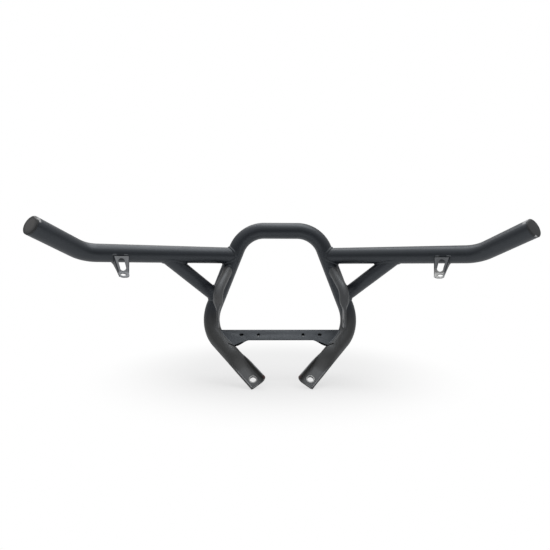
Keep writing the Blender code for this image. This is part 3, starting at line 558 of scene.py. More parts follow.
def drill(obj, centre, axis, diameter, half_depth):
    """Drills a hole whose two rims are broken by a small chamfer."""
    cut(obj, round_cutter(centre - axis * diameter, centre + axis * diameter, diameter / 2))
    chamfer = bpy.context.scene.bumper_detail.edge_round
    for way in (1, -1):
        face = centre + axis * (way * half_depth)
        bpy.ops.object.select_all(action="DESELECT")
        bpy.ops.mesh.primitive_cone_add(vertices=HOLE_SIDES, radius1=diameter / 2 - chamfer,
                                        radius2=diameter / 2 + chamfer, depth=chamfer * 2, location=face,
                                        rotation=(axis * way).to_track_quat("Z", "Y").to_euler())
        countersink = bpy.context.object
        apply_place(countersink)
        cut(obj, countersink)


def grid_sheet(rows, columns, place):
    """An open sheet from a grid; the place function puts each point by its share across and down."""
    bpy.ops.object.select_all(action="DESELECT")
    bpy.ops.mesh.primitive_grid_add(x_subdivisions=columns, y_subdivisions=rows, size=2.0)
    sheet = bpy.context.object
    for vertex in sheet.data.vertices:
        vertex.co = place((vertex.co.x + 1) / 2, (vertex.co.y + 1) / 2)
    face_outwards(sheet)
    return sheet


def mirror_copy(obj, name):
    """The left hand piece, with a mesh of its own."""
    copy = obj.copy()
    copy.data = obj.data.copy()
    copy.name = name
    copy.data.name = name
    bpy.context.scene.collection.objects.link(copy)
    copy.data.transform(Matrix.Scale(-1.0, 4, RIGHT))
    copy.data.flip_normals()
    return copy


def finish_fitting(obj, name, material, smooth_angle=SMOOTH_ANGLE):
    """Names a piece, gives it its material and shading, and lets it ride on the bumper."""
    obj.name = name
    obj.data.name = name
    obj.data.materials.clear()
    obj.data.materials.append(material)
    select_only(obj)
    bpy.ops.object.shade_smooth_by_angle(angle=smooth_angle)
    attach(obj, "root")


def finish_piece(obj, name, material, smooth_angle=SMOOTH_ANGLE):
    """Finishes a piece that stands for the frame's node of the same name."""
    finish_fitting(obj, name, material, smooth_angle)
    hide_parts(name.removesuffix("_skin"))


def finish_pair(obj, node, material, smooth_angle=SMOOTH_ANGLE):
    """Finishes a right hand piece and its mirrored copy."""
    left = mirror_copy(obj, f"{node}_left_skin")
    finish_piece(obj, f"{node}_right_skin", material, smooth_angle)
    finish_piece(left, f"{node}_left_skin", material, smooth_angle)


# Pressed tube ends
def pressed_point(angle, spine, fold, mid_radius):
    """Where the wall's middle lies at an angle round the tube once it is pressed flat along a spine."""
    length = path_length(spine)
    fold_angle = fold / mid_radius * pi / 2
    signed = (angle + pi / 2) % (2 * pi) - pi / 2
    upper = signed < pi / 2
    from_side = signed if upper else signed - pi
    if abs(from_side) <= fold_angle:
        position, tangent = point_along(spine, 0.0 if upper else length)
        outward = -tangent if upper else tangent
        normal = Vector((tangent.y, -tangent.x, 0.0))
        share = from_side / fold_angle * pi / 2 * (1 if upper else -1)
        return position + (outward * cos(share) + normal * sin(share)) * fold
    above = 0 <= signed <= pi
    round_way = signed if above else -signed if signed < 0 else 2 * pi - signed
    share = (round_way - fold_angle) / (pi - 2 * fold_angle)
    position, tangent = point_along(spine, share * length)
    return position + Vector((tangent.y, -tangent.x, 0.0)) * (fold if above else -fold)


def press_end(tube, end, direction, side, full, ramp, mid_radius, wall, spine):
    """Presses the last stretch of a tube's skin: flat for its full length, then opening out to round."""
    up = direction.cross(side)
    fold = (PRESSED_SLIT + wall) / 2
    for vertex in tube.data.vertices:
        offset = vertex.co - end
        distance = -offset.dot(direction)
        across = offset - direction * offset.dot(direction)
        if distance > full + ramp or across.length > mid_radius * 2:
            continue
        flat = pressed_point(atan2(offset.dot(up), offset.dot(side)), spine, fold, mid_radius)
        pressed = side * flat.x + up * flat.y
        share = smooth_step((full + ramp - distance) / ramp)
        vertex.co = end - direction * distance + across.lerp(pressed, share)


def foot_spine():
    """The pressed wall's middle line across a foot: low outer lip, flat floor, high inner lip."""
    half = PRESSED_SLIT / 2 + TUBE_WALL
    floor = -FOOT_FLOOR_DEPTH - half
    outer = FOOT_EDGE_OUT - half
    inner = -FOOT_EDGE_IN + half
    corners = [
        Vector((outer, floor + FOOT_OUTER_LIP + half, 0.0)),
        Vector((outer, floor, 0.0)),
        Vector((inner, floor, 0.0)),
        Vector((inner, floor + FOOT_INNER_LIP + half, 0.0)),
    ]
    outer_part = rounded_path(corners[:3], FOOT_OUTER_RADIUS, BEND_STEP * 2)[:-1]
    inner_part = rounded_path(corners[1:], FOOT_INNER_RADIUS, BEND_STEP * 2)[1:]
    return outer_part + inner_part


# Cutters shared by the pieces
def hoop_cutter():
    """The right half of the hoop as a solid, one joint gap larger."""
    corners = [HOOP_TOP - RIGHT * TUBE_OD, HOOP_CORNER, HOOP_BEND, FOOT_END]
    return sweep_tube(corners, BEND_RADIUS, TUBE_OD / 2 + JOINT_GAP, TUBE_SIDES, capped=True)


def wing_cutter():
    """The right wing as a solid, one joint gap larger."""
    return sweep_tube([WING_START, WING_BEND, WING_END], BEND_RADIUS, TUBE_OD / 2 + JOINT_GAP, TUBE_SIDES,
                      capped=True)


# Finishes
def add_node(tree, kind, inputs=None, **settings):
    """Adds a node, sets it, and feeds its inputs with values or with other nodes' outputs."""
    node = tree.nodes.new(kind)
    for name, value in settings.items():
        setattr(node, name, value)
    for key, value in (inputs or {}).items():
        if isinstance(value, bpy.types.NodeSocket):
            tree.links.new(value, node.inputs[key])
        else:
            node.inputs[key].default_value = value
    return node


def number(tree, operation, first, second=0.0, clamp=False):
    """One step of arithmetic; gives its output socket."""
    return add_node(tree, "ShaderNodeMath", {0: first, 1: second}, operation=operation,
                    use_clamp=clamp).outputs[0]


def vector(tree, operation, first, second=(0.0, 0.0, 0.0)):
    """One step of arithmetic with vectors; gives its node."""
    return add_node(tree, "ShaderNodeVectorMath", {0: first, 1: second}, operation=operation)


def noise(tree, place, scale, detail, roughness):
    """Soft noise from 0 to 1; gives its output socket."""
    return add_node(tree, "ShaderNodeTexNoise", {"Vector": place, "Scale": scale, "Detail": detail,
                                                 "Roughness": roughness}).outputs["Fac"]


def ramp_between(tree, value, low, high):
    """A smooth step from 0 at the low value to 1 at the high one."""
    return add_node(tree, "ShaderNodeMapRange", {"Value": value, "From Min": low, "From Max": high},
                    interpolation_type="SMOOTHSTEP").outputs["Result"]


def blend_colours(tree, share, first, second):
    """From the first colour, a socket, to the second one by the share."""
    return add_node(tree, "ShaderNodeMix", {0: share, 6: first, 7: (*second, 1.0)},
                    data_type="RGBA").outputs[2]


def blend_numbers(tree, share, first, second):
    """From the first number to the second by the share."""
    return add_node(tree, "ShaderNodeMix", {0: share, 2: first, 3: second}, data_type="FLOAT").outputs[0]


def new_group(name, inputs, outputs):
    """An empty node group with its sockets; gives its tree, its input node and its output node."""
    tree = bpy.data.node_groups.new(name, "ShaderNodeTree")
    for socket_name, kind in inputs:
        tree.interface.new_socket(socket_name, in_out="INPUT", socket_type=f"NodeSocket{kind}")
    for socket_name, kind in outputs:
        tree.interface.new_socket(socket_name, in_out="OUTPUT", socket_type=f"NodeSocket{kind}")
    return tree, tree.nodes.new("NodeGroupInput"), tree.nodes.new("NodeGroupOutput")


def coat_group():
    """Sprayed powder: a fine orange peel, a slow mottle in colour and gloss."""
    existing = bpy.data.node_groups.get("powder_coat_surface")
    if existing:
        return existing
    tree, given, result = new_group(
        "powder_coat_surface",
        [("Colour", "Color"), ("Roughness", "Float"), ("Mottle", "Float"), ("Peel size", "Float")],
        [("Colour", "Color"), ("Roughness", "Float"), ("Height", "Float")])
    place = tree.nodes.new("ShaderNodeTexCoord").outputs["Object"]
    slow = noise(tree, place, 38.0, 4.0, 0.6)
    peel_scale = number(tree, "DIVIDE", 1.0, given.outputs["Peel size"])
    peel = noise(tree, place, peel_scale, 2.0, 0.45)
    grit = noise(tree, place, number(tree, "MULTIPLY", peel_scale, 3.7), 2.0, 0.6)
    swing = number(tree, "MULTIPLY", number(tree, "SUBTRACT", slow, 0.5), given.outputs["Mottle"])
    lift = number(tree, "ADD", number(tree, "MULTIPLY", swing, 1.6), 1.0)
    tint = vector(tree, "SCALE", given.outputs["Colour"])
    tree.links.new(lift, tint.inputs["Scale"])
    roughness = number(tree, "ADD", given.outputs["Roughness"], number(tree, "MULTIPLY", swing, 0.55), True)
    height = number(tree, "ADD", peel, number(tree, "MULTIPLY", grit, 0.35))
    for key, value in (("Colour", tint.outputs["Vector"]), ("Roughness", roughness), ("Height", height)):
        tree.links.new(value, result.inputs[key])
    return tree


def mark_group():
    """A ragged patch round a line between two points, or round one point."""
    existing = bpy.data.node_groups.get("wear_and_painted_light_patch")
    if existing:
        return existing
    tree, given, result = new_group(
        "wear_and_painted_light_patch",
        [("Start", "Vector"), ("End", "Vector"), ("Radius", "Float"), ("Hollow", "Float"),
         ("Softness", "Float"), ("Ragged", "Float"), ("Grain size", "Float"), ("Strength", "Float")],
        [("Mask", "Float")])
    place = tree.nodes.new("ShaderNodeTexCoord").outputs["Object"]
    offset = vector(tree, "SUBTRACT", place, given.outputs["Start"]).outputs["Vector"]
    run = vector(tree, "SUBTRACT", given.outputs["End"], given.outputs["Start"]).outputs["Vector"]
    along = vector(tree, "DOT_PRODUCT", offset, run).outputs["Value"]
    square = vector(tree, "DOT_PRODUCT", run, run).outputs["Value"]
    share = number(tree, "DIVIDE", along, square, True)
    nearest = vector(tree, "SCALE", run)
    tree.links.new(share, nearest.inputs["Scale"])
    gap = vector(tree, "SUBTRACT", offset, nearest.outputs["Vector"]).outputs["Vector"]
    distance = vector(tree, "LENGTH", gap).outputs["Value"]
    speckle = noise(tree, place, number(tree, "DIVIDE", 1.0, given.outputs["Grain size"]), 5.0, 0.65)
    swing = number(tree, "MULTIPLY", number(tree, "SUBTRACT", speckle, 0.5), given.outputs["Ragged"])
    uneven = number(tree, "ADD", distance, swing)
    outer = number(tree, "ADD", given.outputs["Radius"], given.outputs["Softness"])
    inner = number(tree, "SUBTRACT", given.outputs["Radius"], given.outputs["Softness"])
    mask = ramp_between(tree, uneven, outer, inner)
    rim = number(tree, "SUBTRACT", given.outputs["Hollow"], given.outputs["Softness"])
    mask = number(tree, "MULTIPLY", mask, ramp_between(tree, uneven, rim, given.outputs["Hollow"]))
    tree.links.new(number(tree, "MULTIPLY", mask, given.outputs["Strength"]), result.inputs["Mask"])
    return tree


def grey_face_group():
    """What lies outside a flat face's plane, on either side of the bumper: where the face is grey. What lies
    behind it, the flanges, keeps the dark coat, partly as painted shade.
    """
    existing = bpy.data.node_groups.get("grey_face")
    if existing:
        return existing
    tree, given, result = new_group(
        "grey_face",
        [("Place", "Vector"), ("Way out", "Vector"), ("Depth", "Float"), ("Ragged", "Float")],
        [("Mask", "Float")])
    place = tree.nodes.new("ShaderNodeTexCoord").outputs["Object"]
    parts = add_node(tree, "ShaderNodeSeparateXYZ", {0: place}).outputs
    right_half = add_node(tree, "ShaderNodeCombineXYZ", {"X": number(tree, "ABSOLUTE", parts["X"]),
                                                         "Y": parts["Y"], "Z": parts["Z"]}).outputs[0]
    offset = vector(tree, "SUBTRACT", right_half, given.outputs["Place"]).outputs["Vector"]
    height = vector(tree, "DOT_PRODUCT", offset, given.outputs["Way out"]).outputs["Value"]
    swing = number(tree, "MULTIPLY", number(tree, "SUBTRACT", noise(tree, place, 500.0, 5.0, 0.65), 0.5),
                   given.outputs["Ragged"])
    deep = number(tree, "MULTIPLY", given.outputs["Depth"], -1.0)
    mask = ramp_between(tree, number(tree, "ADD", height, swing), deep, 0.0)
    tree.links.new(mask, result.inputs["Mask"])
    return tree


def dust_group():
    """Dust on what faces up, in uneven patches."""
    existing = bpy.data.node_groups.get("lying_dust")
    if existing:
        return existing
    tree, given, result = new_group("lying_dust", [("Amount", "Float")], [("Mask", "Float")])
    place = tree.nodes.new("ShaderNodeTexCoord").outputs["Object"]
    normal = tree.nodes.new("ShaderNodeNewGeometry").outputs["Normal"]
    upward = add_node(tree, "ShaderNodeSeparateXYZ", {0: normal}).outputs["Z"]
    lying = ramp_between(tree, upward, 0.15, 0.95)
    patches = ramp_between(tree, noise(tree, place, 60.0, 6.0, 0.65), 0.3, 0.75)
    share = number(tree, "MULTIPLY", lying, number(tree, "ADD", number(tree, "MULTIPLY", patches, 0.7), 0.3))
    tree.links.new(number(tree, "MULTIPLY", share, given.outputs["Amount"]), result.inputs["Mask"])
    return tree


def finish_material(name, colour, roughness, mottle, peel_size, peel_depth, dust, marks=(), rubbed=None,
                    shine=0.9):
    """A coated or moulded finish: its own texture, dust, and the marks that lie on it: wear, painted shade
    and painted highlights.

    A mark is a dictionary with the inputs of the patch group and its colour, roughness and metal share.
    A grey face is its grey colour, a point on the face and the way out of it."""
    existing = bpy.data.materials.get(name)
    if existing:
        return existing
    material = bpy.data.materials.new(name)
    material.use_nodes = True
    tree = material.node_tree
    shader = tree.nodes["Principled BSDF"]
    shader.inputs["Specular IOR Level"].default_value = shine
    shader.inputs["Specular Tint"].default_value = COOL_SHEEN
    coat = add_node(tree, "ShaderNodeGroup", node_tree=coat_group())
    coat.inputs["Colour"].default_value = (*colour, 1.0)
    coat.inputs["Roughness"].default_value = roughness
    coat.inputs["Mottle"].default_value = mottle
    coat.inputs["Peel size"].default_value = peel_size
    lying = add_node(tree, "ShaderNodeGroup", node_tree=dust_group())
    lying.inputs["Amount"].default_value = dust
    colours = bpy.context.scene.bumper_colours
    shade = coat.outputs["Colour"]
    # Grey on the face only; the flanges behind it keep the dark coat, partly as painted shade
    if rubbed:
        face_colour, place, way_out = rubbed
        face = add_node(tree, "ShaderNodeGroup", node_tree=grey_face_group())
        edge = {"Place": place, "Way out": way_out, "Depth": FACE_EDGE_DEPTH, "Ragged": FACE_EDGE_RAGGED}
        for key, value in edge.items():
            face.inputs[key].default_value = value
        shade = blend_colours(tree, face.outputs["Mask"], shade, face_colour)
    shade = blend_colours(tree, lying.outputs["Mask"], shade, colours.dust)
    rough = blend_numbers(tree, lying.outputs["Mask"], coat.outputs["Roughness"], DUST_ROUGHNESS)
    metal = None
    for worn in marks:
        patch = add_node(tree, "ShaderNodeGroup", node_tree=mark_group())
        for socket in patch.inputs:
            socket.default_value = worn[socket.name]
        shade = blend_colours(tree, patch.outputs["Mask"], shade, worn["colour"])
        rough = blend_numbers(tree, patch.outputs["Mask"], rough, worn["roughness"])
        metal = blend_numbers(tree, patch.outputs["Mask"], metal or 0.0, worn["metal"])
    tree.links.new(shade, shader.inputs["Base Color"])
    tree.links.new(rough, shader.inputs["Roughness"])
    if metal:
        tree.links.new(metal, shader.inputs["Metallic"])
    bump = add_node(tree, "ShaderNodeBump", {"Height": coat.outputs["Height"], "Distance": peel_depth,
                                             "Strength": 1.0})
    tree.links.new(bump.outputs["Normal"], shader.inputs["Normal"])
    return material


def mark(start, end, radius, softness, ragged, grain, strength, colour, roughness, metal=0.0, hollow=-1.0):
    """One mark for a finish; the same kind serves wear, dust, painted shade and painted highlights."""
    return {"Start": start, "End": end, "Radius": radius, "Hollow": hollow, "Softness": softness,
            "Ragged": ragged, "Grain size": grain, "Strength": strength, "colour": colour,
            "roughness": roughness, "metal": metal}


def tube_coat():
    """The wings' and braces' coat, scuffed pale on top of the wings' ends, just behind the caps."""
    colours = bpy.context.scene.bumper_colours
    left = (cap_rim(-1, radians(5.0), 0.0040), cap_rim(-1, radians(60.0), 0.0040))
    right = (cap_rim(1, radians(5.0), 0.0058), cap_rim(1, radians(42.0), 0.0058))
    scuffs = [mark(*left, 0.0030, 0.0016, 0.0025, 0.0016, 0.85, colours.scuff, 0.55),
              mark(*right, 0.0050, 0.0030, 0.0030, 0.0020, 0.60, colours.scuff, 0.55)]
    return finish_material("tube_powder_coat", colours.coat, 0.42, 0.30, 0.0016, 0.00003, 0.10, scuffs)


def arm_coat():
    """The arms' light grey, dusty coat, which also stands partly for a painted highlight; the left arm's
    dust patch on its slant and knee is partly a painted highlight too.
    """
    colours = bpy.context.scene.bumper_colours
    slant = on_side(-1, ARM_START.lerp(ARM_KNEE, 0.35))
    knee = on_side(-1, ARM_KNEE - UP * ARM_OD)
    # Dust patch on the left arm's slant and knee, partly a painted highlight; the arms' extra lying dust
    # also partly paints their highlight
    dusty = mark(slant, knee, 0.0150, 0.0080, 0.0080, 0.0040, 0.45, colours.dust, 0.55)
    return finish_material("arm_powder_coat", colours.arm, 0.45, 0.40, 0.0016, 0.00003, 0.22, [dusty])


def weld_coat():
    """The coat of the weld beads, a little glossier and dustier than the tubes'."""
    colours = bpy.context.scene.bumper_colours
    return finish_material("weld_powder_coat", colours.coat, 0.38, 0.35, 0.0012, 0.00003, 0.14)


def plate_coat():
    """The plate's coat, with painted shadow along the curved lower edge at each end."""
    colours = bpy.context.scene.bumper_colours
    curve = plate_curve()
    ends = (curve[0], curve[ROW_STEPS // 2])
    first, last = (RIGHT * across + SLOPE_UP * height for across, height in ends)
    # Painted shadow: a near-black, dull strip along each curved lower edge, where the plate's end meets the
    # leg
    marks = [mark(on_side(side, first), on_side(side, last), 0.0022, 0.0009, 0.0008, 0.0020, 0.95,
                  colours.painted_shade, 0.80, 1.0) for side in (1, -1)]
    return finish_material("plate_powder_coat", colours.plate, 0.50, 0.35, 0.0016, 0.00003, 0.05, marks)


def bracket_coat():
    """A dark coat with a grey face; the flanges keep the dark coat, partly as painted shade. The right
    bracket's face is blended darker, and its foot is bare.
    """
    colours = bpy.context.scene.bumper_colours
    face = BRACKET_PLACE + WING_REAR * (BRACKET_FACE + BRACKET_SHEET / 2)
    fold = face - UP * BRACKET_FOLD_DROP + WING_DIRECTION * BRACKET_FOOT_SHIFT
    foot = fold + WING_REAR * BRACKET_TAB_LENGTH * 0.6 - UP * BRACKET_TAB_LENGTH * 0.4
    # The right bracket's face is blended towards the dark coat
    darker_face = mark(face, fold, 0.0190, 0.0050, 0.0100, 0.0040, 0.40, colours.coat, 0.50)
    bare = mark(fold, foot, 0.0105, 0.0020, 0.0090, 0.0030, 0.85, colours.bare_steel, 0.42, 0.75)
    # The grey goes on the face only; behind it the flanges' dark coat is partly painted shade
    return finish_material("bracket_powder_coat", colours.coat, 0.50, 0.30, 0.0013, 0.00003, 0.08,
                           [darker_face, bare], (colours.bracket, face, WING_REAR))


def nut_shade_coat():
    """The nuts' coat, near black and dull as painted shade, since the nuts lie in the plate's shade."""
    colours = bpy.context.scene.bumper_colours
    return finish_material("nut_powder_coat", colours.painted_shade, 0.80, 0.30, 0.0016, 0.00003, 0.0, shine=0.2)


def bracket_weld_coat():
    """The thin, greyer coat of the brackets' tack welds."""
    colours = bpy.context.scene.bumper_colours
    return finish_material("bracket_weld_coat", colours.tack, 0.42, 0.35, 0.0012, 0.00003, 0.14)


def cap_rim(side, turn, behind=0.0):
    """A point on a cap's rim or some way behind it, by its turn from the top towards the bumper's middle."""
    top = (UP - END_DIRECTION * UP.dot(END_DIRECTION)).normalized()
    inward = END_DIRECTION.cross(top)
    reach = (top * cos(turn) + inward * sin(turn)) * (TUBE_OD / 2 - CAP_RIM_RADIUS / 2)
    return on_side(side, WING_END + END_DIRECTION * (CAP_HEAD - behind) + reach)


def cap_plastic():
    """Moulded black plastic, scuffed on top of both caps and nicked on the right cap's underside.

    The left cap's face is dusty."""
    colours = bpy.context.scene.bumper_colours
    face = on_side(-1, WING_END + END_DIRECTION * CAP_HEAD)
    scuffs = [mark(face, face, 0.0140, 0.0050, 0.0060, 0.0030, 0.65, colours.dust, 0.6),
              mark(cap_rim(-1, radians(3.0), 0.0013), cap_rim(-1, radians(52.0), 0.0013), 0.0020, 0.0010,
                   0.0030, 0.0016, 0.8, colours.scuff, 0.6),
              mark(cap_rim(1, radians(5.0), 0.0020), cap_rim(1, radians(40.0), 0.0020), 0.0024, 0.0015,
                   0.0030, 0.0020, 0.5, colours.scuff, 0.6),
              mark(cap_rim(1, radians(158.0)), cap_rim(1, radians(168.0)), 0.0019, 0.0005, 0.0010, 0.0010,
                   0.95, colours.scuff, 0.6)]
    return finish_material("cap_plastic", colours.plastic, 0.55, 0.30, 0.0007, 0.00002, 0.10, scuffs,
                           shine=0.5)


def hoop_coat():
    """The tubes' coat with the wear of the feet: bare rings round the bolt holes, rubbed lips, rusty tips.

    Below the cross plate's lower corners a dark line on each leg is painted shadow. The pale lines on the
    lips' crests are rubbed coat and partly painted highlights, and the pale dust patch along each trough is
    partly a painted highlight."""
    colours = bpy.context.scene.bumper_colours
    half = PRESSED_SLIT / 2 + TUBE_WALL
    floor = FOOT_END - SLOPE_OUT * FOOT_FLOOR_DEPTH
    inner_crest = floor - FOOT_SIDE * (FOOT_EDGE_IN - half / 3) + SLOPE_OUT * (FOOT_INNER_LIP + half * 0.7)
    outer_crest = floor + FOOT_SIDE * (FOOT_EDGE_OUT - half) + SLOPE_OUT * (FOOT_OUTER_LIP + half)
    back = LEG_DIRECTION * -PRESS_FLAT
    low = PLATE_HEIGHT / 2 - PLATE_END_HEIGHT
    corner = SLOPE_UP * low + RIGHT * leg_contact(low)
    # Where the painted shadow below the plate's lower corner ends on the leg
    below_corner = corner + RIGHT * 0.011 + SLOPE_UP * 0.003 + SLOPE_OUT * 0.004
    shadow_end, _ = on_surface(below_corner, HOOP_LINE, TUBE_OD / 2)
    seam_top = SLOPE_UP * (PLATE_HEIGHT / 2) + RIGHT * leg_contact(PLATE_HEIGHT / 2)
    # Pale lines along the lip crests: rubbed coat, and partly painted highlights on the crests
    lips = ((inner_crest, 1.3, 0.0012, 0.85), (outer_crest, 1.1, 0.0009, 0.5))
    marks = [mark(on_side(-1, corner), on_side(-1, seam_top), 0.0070, 0.0040, 0.0120, 0.0016, 0.25,
                  colours.rubbed, 0.55)]
    for side, rust_strength in ((1, 0.55), (-1, 0.85)):
        knee = on_side(side, HOOP_BEND + LEG_DIRECTION * (BEND_RADIUS / 2))
        marks.append(mark(knee, on_side(side, FOOT_END), 0.050, 0.028, 0.020, 0.012, 0.85,
                          colours.grime, 0.5))
        # A pale dust patch along each trough's floor, partly a painted highlight
        marks.append(mark(on_side(side, floor + back * 1.6), on_side(side, floor + back * 0.5), 0.013,
                          0.009, 0.010, 0.006, 0.22, colours.dust, 0.55))
        above = on_side(side, FOOT_HOLE + SLOPE_OUT * TUBE_WALL)
        below = on_side(side, FOOT_HOLE - SLOPE_OUT * TUBE_WALL * 3)
        marks.append(mark(above, below, 0.0088, 0.0005, 0.0014, 0.0010, 0.5, colours.rubbed, 0.5,
                          hollow=0.0073))
        marks.append(mark(above, below, 0.0090, 0.0004, 0.0013, 0.0009, 0.95, colours.bare_steel, 0.42, 0.6,
                          hollow=0.0080))
        # Pale lines on the lip crests, rubbed coat and partly painted highlight
        for crest, reach, radius, strength in lips:
            marks.append(mark(on_side(side, crest), on_side(side, crest + back * reach), radius, 0.0005,
                              0.0016, 0.0016, strength, colours.rubbed, 0.5, 0.3))
        marks.append(mark(on_side(side, floor + FOOT_SIDE * FOOT_EDGE_OUT), on_side(side, floor), 0.0012,
                          0.0005, 0.0026, 0.0014, 0.5, colours.rubbed, 0.5, 0.3))
        # Painted shadow on the leg below the plate's lower corner
        marks.append(mark(on_side(side, corner), on_side(side, shadow_end), 0.0018, 0.0008, 0.0010, 0.0020,
                          0.85, colours.painted_shade, 0.8, 1.0))
        tip = on_side(side, FOOT_TIP)
        marks.append(mark(tip, tip, 0.0062, 0.0022, 0.0050, 0.0020, rust_strength, colours.rust, 0.85))
    return finish_material("hoop_powder_coat", colours.coat, 0.42, 0.30, 0.0016, 0.00003, 0.10, marks)


# Pieces
class MESH_OT_bumper_hoop(bpy.types.Operator):
    """Models the hoop with its pressed feet"""
    bl_idname = "mesh.bumper_hoop"
    bl_label = "Main Hoop"

    def execute(self, context):
        start = HOOP_TOP - RIGHT * TUBE_OD
        mid_radius = (TUBE_OD - TUBE_WALL) / 2
        hoop = sweep_tube([start, HOOP_CORNER, HOOP_BEND, FOOT_END], BEND_RADIUS, mid_radius, TUBE_SIDES,
                          PRESS_LENGTH)
        press_end(hoop, FOOT_END, LEG_DIRECTION, FOOT_SIDE, PRESS_FLAT, PRESS_LENGTH - PRESS_FLAT,
                  mid_radius, TUBE_WALL, foot_spine())
        apply_modifier(hoop, "SOLIDIFY", thickness=TUBE_WALL, offset=0.0, use_even_offset=True)
        apply_modifier(hoop, "BEVEL", width=context.scene.bumper_detail.edge_round, segments=2,
                       limit_method="ANGLE", angle_limit=radians(60.0))
        floor = FOOT_HOLE - SLOPE_OUT * (TUBE_WALL + PRESSED_SLIT / 2)
        drill(hoop, floor, SLOPE_OUT, FOOT_HOLE_D, TUBE_WALL + PRESSED_SLIT / 2)
        apply_modifier(hoop, "MIRROR", use_axis=(True, False, False), use_bisect_axis=(True, False, False),
                       use_mirror_merge=True, merge_threshold=0.00002)
        finish_piece(hoop, "main_hoop_skin", hoop_coat())
        return {"FINISHED"}


class MESH_OT_bumper_wings(bpy.types.Operator):
    """Models the two bent side tubes"""
    bl_idname = "mesh.bumper_wings"
    bl_label = "Wing Tubes"

    def execute(self, context):
        mid_radius = (TUBE_OD - TUBE_WALL) / 2
        wing = sweep_tube([WING_START, WING_BEND, WING_END], BEND_RADIUS, mid_radius, TUBE_SIDES)
        apply_modifier(wing, "SOLIDIFY", thickness=TUBE_WALL, offset=0.0, use_even_offset=True)
        cut(wing, hoop_cutter())
        finish_pair(wing, "wing_tube", tube_coat())
        return {"FINISHED"}


class MESH_OT_bumper_braces(bpy.types.Operator):
    """Models the two slanted tubes under the wings"""
    bl_idname = "mesh.bumper_braces"
    bl_label = "Braces"

    def execute(self, context):
        brace = sweep_tube([BRACE_TOP, BRACE_FOOT], BEND_RADIUS, (BRACE_OD - TUBE_WALL) / 2, TUBE_SIDES)
        apply_modifier(brace, "SOLIDIFY", thickness=TUBE_WALL, offset=0.0, use_even_offset=True)
        cut(brace, hoop_cutter())
        cut(brace, wing_cutter())
        finish_pair(brace, "brace_tube", tube_coat())
        return {"FINISHED"}


class MESH_OT_bumper_arms(bpy.types.Operator):
    """Models the two mounting arms with their flattened, drilled ends"""
    bl_idname = "mesh.bumper_arms"
    bl_label = "Mounting Arms"

    def execute(self, context):
        mid_radius = (ARM_OD - ARM_WALL) / 2
        half_width = (pi * mid_radius - pi * (PRESSED_SLIT + ARM_WALL) / 2) / 2
        spine = [Vector((half_width, 0.0, 0.0)), Vector((-half_width, 0.0, 0.0))]
        arm = sweep_tube([ARM_START, ARM_KNEE, ARM_END], ARM_BEND_RADIUS, mid_radius, ARM_SIDES,
                         ARM_TAB_LENGTH + ARM_TAPER_LENGTH)
        press_end(arm, ARM_END, -UP, ARM_TAB_WIDE, ARM_TAB_LENGTH, ARM_TAPER_LENGTH, mid_radius, ARM_WALL,
                  spine)
        apply_modifier(arm, "SOLIDIFY", thickness=ARM_WALL, offset=0.0, use_even_offset=True)
        cut(arm, hoop_cutter())
        across = ARM_TAB_WIDE.cross(-UP)
        drill(arm, ARM_END + UP * ARM_HOLE_FROM_END, across, ARM_HOLE_D, ARM_WALL + PRESSED_SLIT / 2)
        edge = half_width + ARM_WALL + PRESSED_SLIT
        corner = ARM_TAB_CORNER
        beyond = edge + corner
        trim = [(-beyond, corner), (-beyond, -corner)]
        trim += arc(-edge + corner, -corner, corner, 180.0, 90.0, CORNER_STEPS)
        trim += arc(edge - corner, -corner, corner, 90.0, 0.0, CORNER_STEPS)
        trim += [(beyond, -corner), (beyond, corner)]
        cut(arm, outline_solid(trim, ARM_OD, basis(ARM_END, ARM_TAB_WIDE, -UP, across)))
        finish_pair(arm, "mounting_arm", arm_coat())
        return {"FINISHED"}


def leg_contact(height):
    """How far out the plate's rear face meets the hoop at a height up the slope."""
    inner = SLOPE_UP * height
    low, high = 0.0, HOOP_BEND_HALF
    for index in range(CONTACT_STEPS):
        reach = HOOP_BEND_HALF * index / CONTACT_STEPS
        if distance_to_path(inner + RIGHT * reach, HOOP_LINE) <= TUBE_OD / 2 + JOINT_GAP:
            high = reach
            break
        low = reach
    for _ in range(CONTACT_HALVINGS):
        middle = (low + high) / 2
        if distance_to_path(inner + RIGHT * middle, HOOP_LINE) <= TUBE_OD / 2 + JOINT_GAP:
            high = middle
        else:
            low = middle
    return high


def plate_curve():
    """The lower edge's curve on the right, from the plate's deep end to its shallow middle."""
    middle = -PLATE_HEIGHT / 2
    low = PLATE_HEIGHT / 2 - PLATE_END_HEIGHT
    span = PLATE_CURVE_END - PLATE_STRAIGHT_HALF
    shares = [index / ROW_STEPS for index in range(ROW_STEPS + 1)]
    return [(PLATE_CURVE_END - span * share, low + (middle - low) * smooth_step(share)) for share in shares]


def plate_outline():
    """Straight top edge, shallow middle, and ends that run down into the legs."""
    top = PLATE_HEIGHT / 2
    low = PLATE_HEIGHT / 2 - PLATE_END_HEIGHT
    end = leg_contact(low) + PLATE_BITE
    tip = low + max(0.0, end - PLATE_CURVE_END) * PLATE_END_SLOPE
    right = [(leg_contact(height) + PLATE_BITE, height) for height in (top, (top + tip) / 2, tip)]
    right += plate_curve()
    return right + [(-x, y) for x, y in reversed(right)]


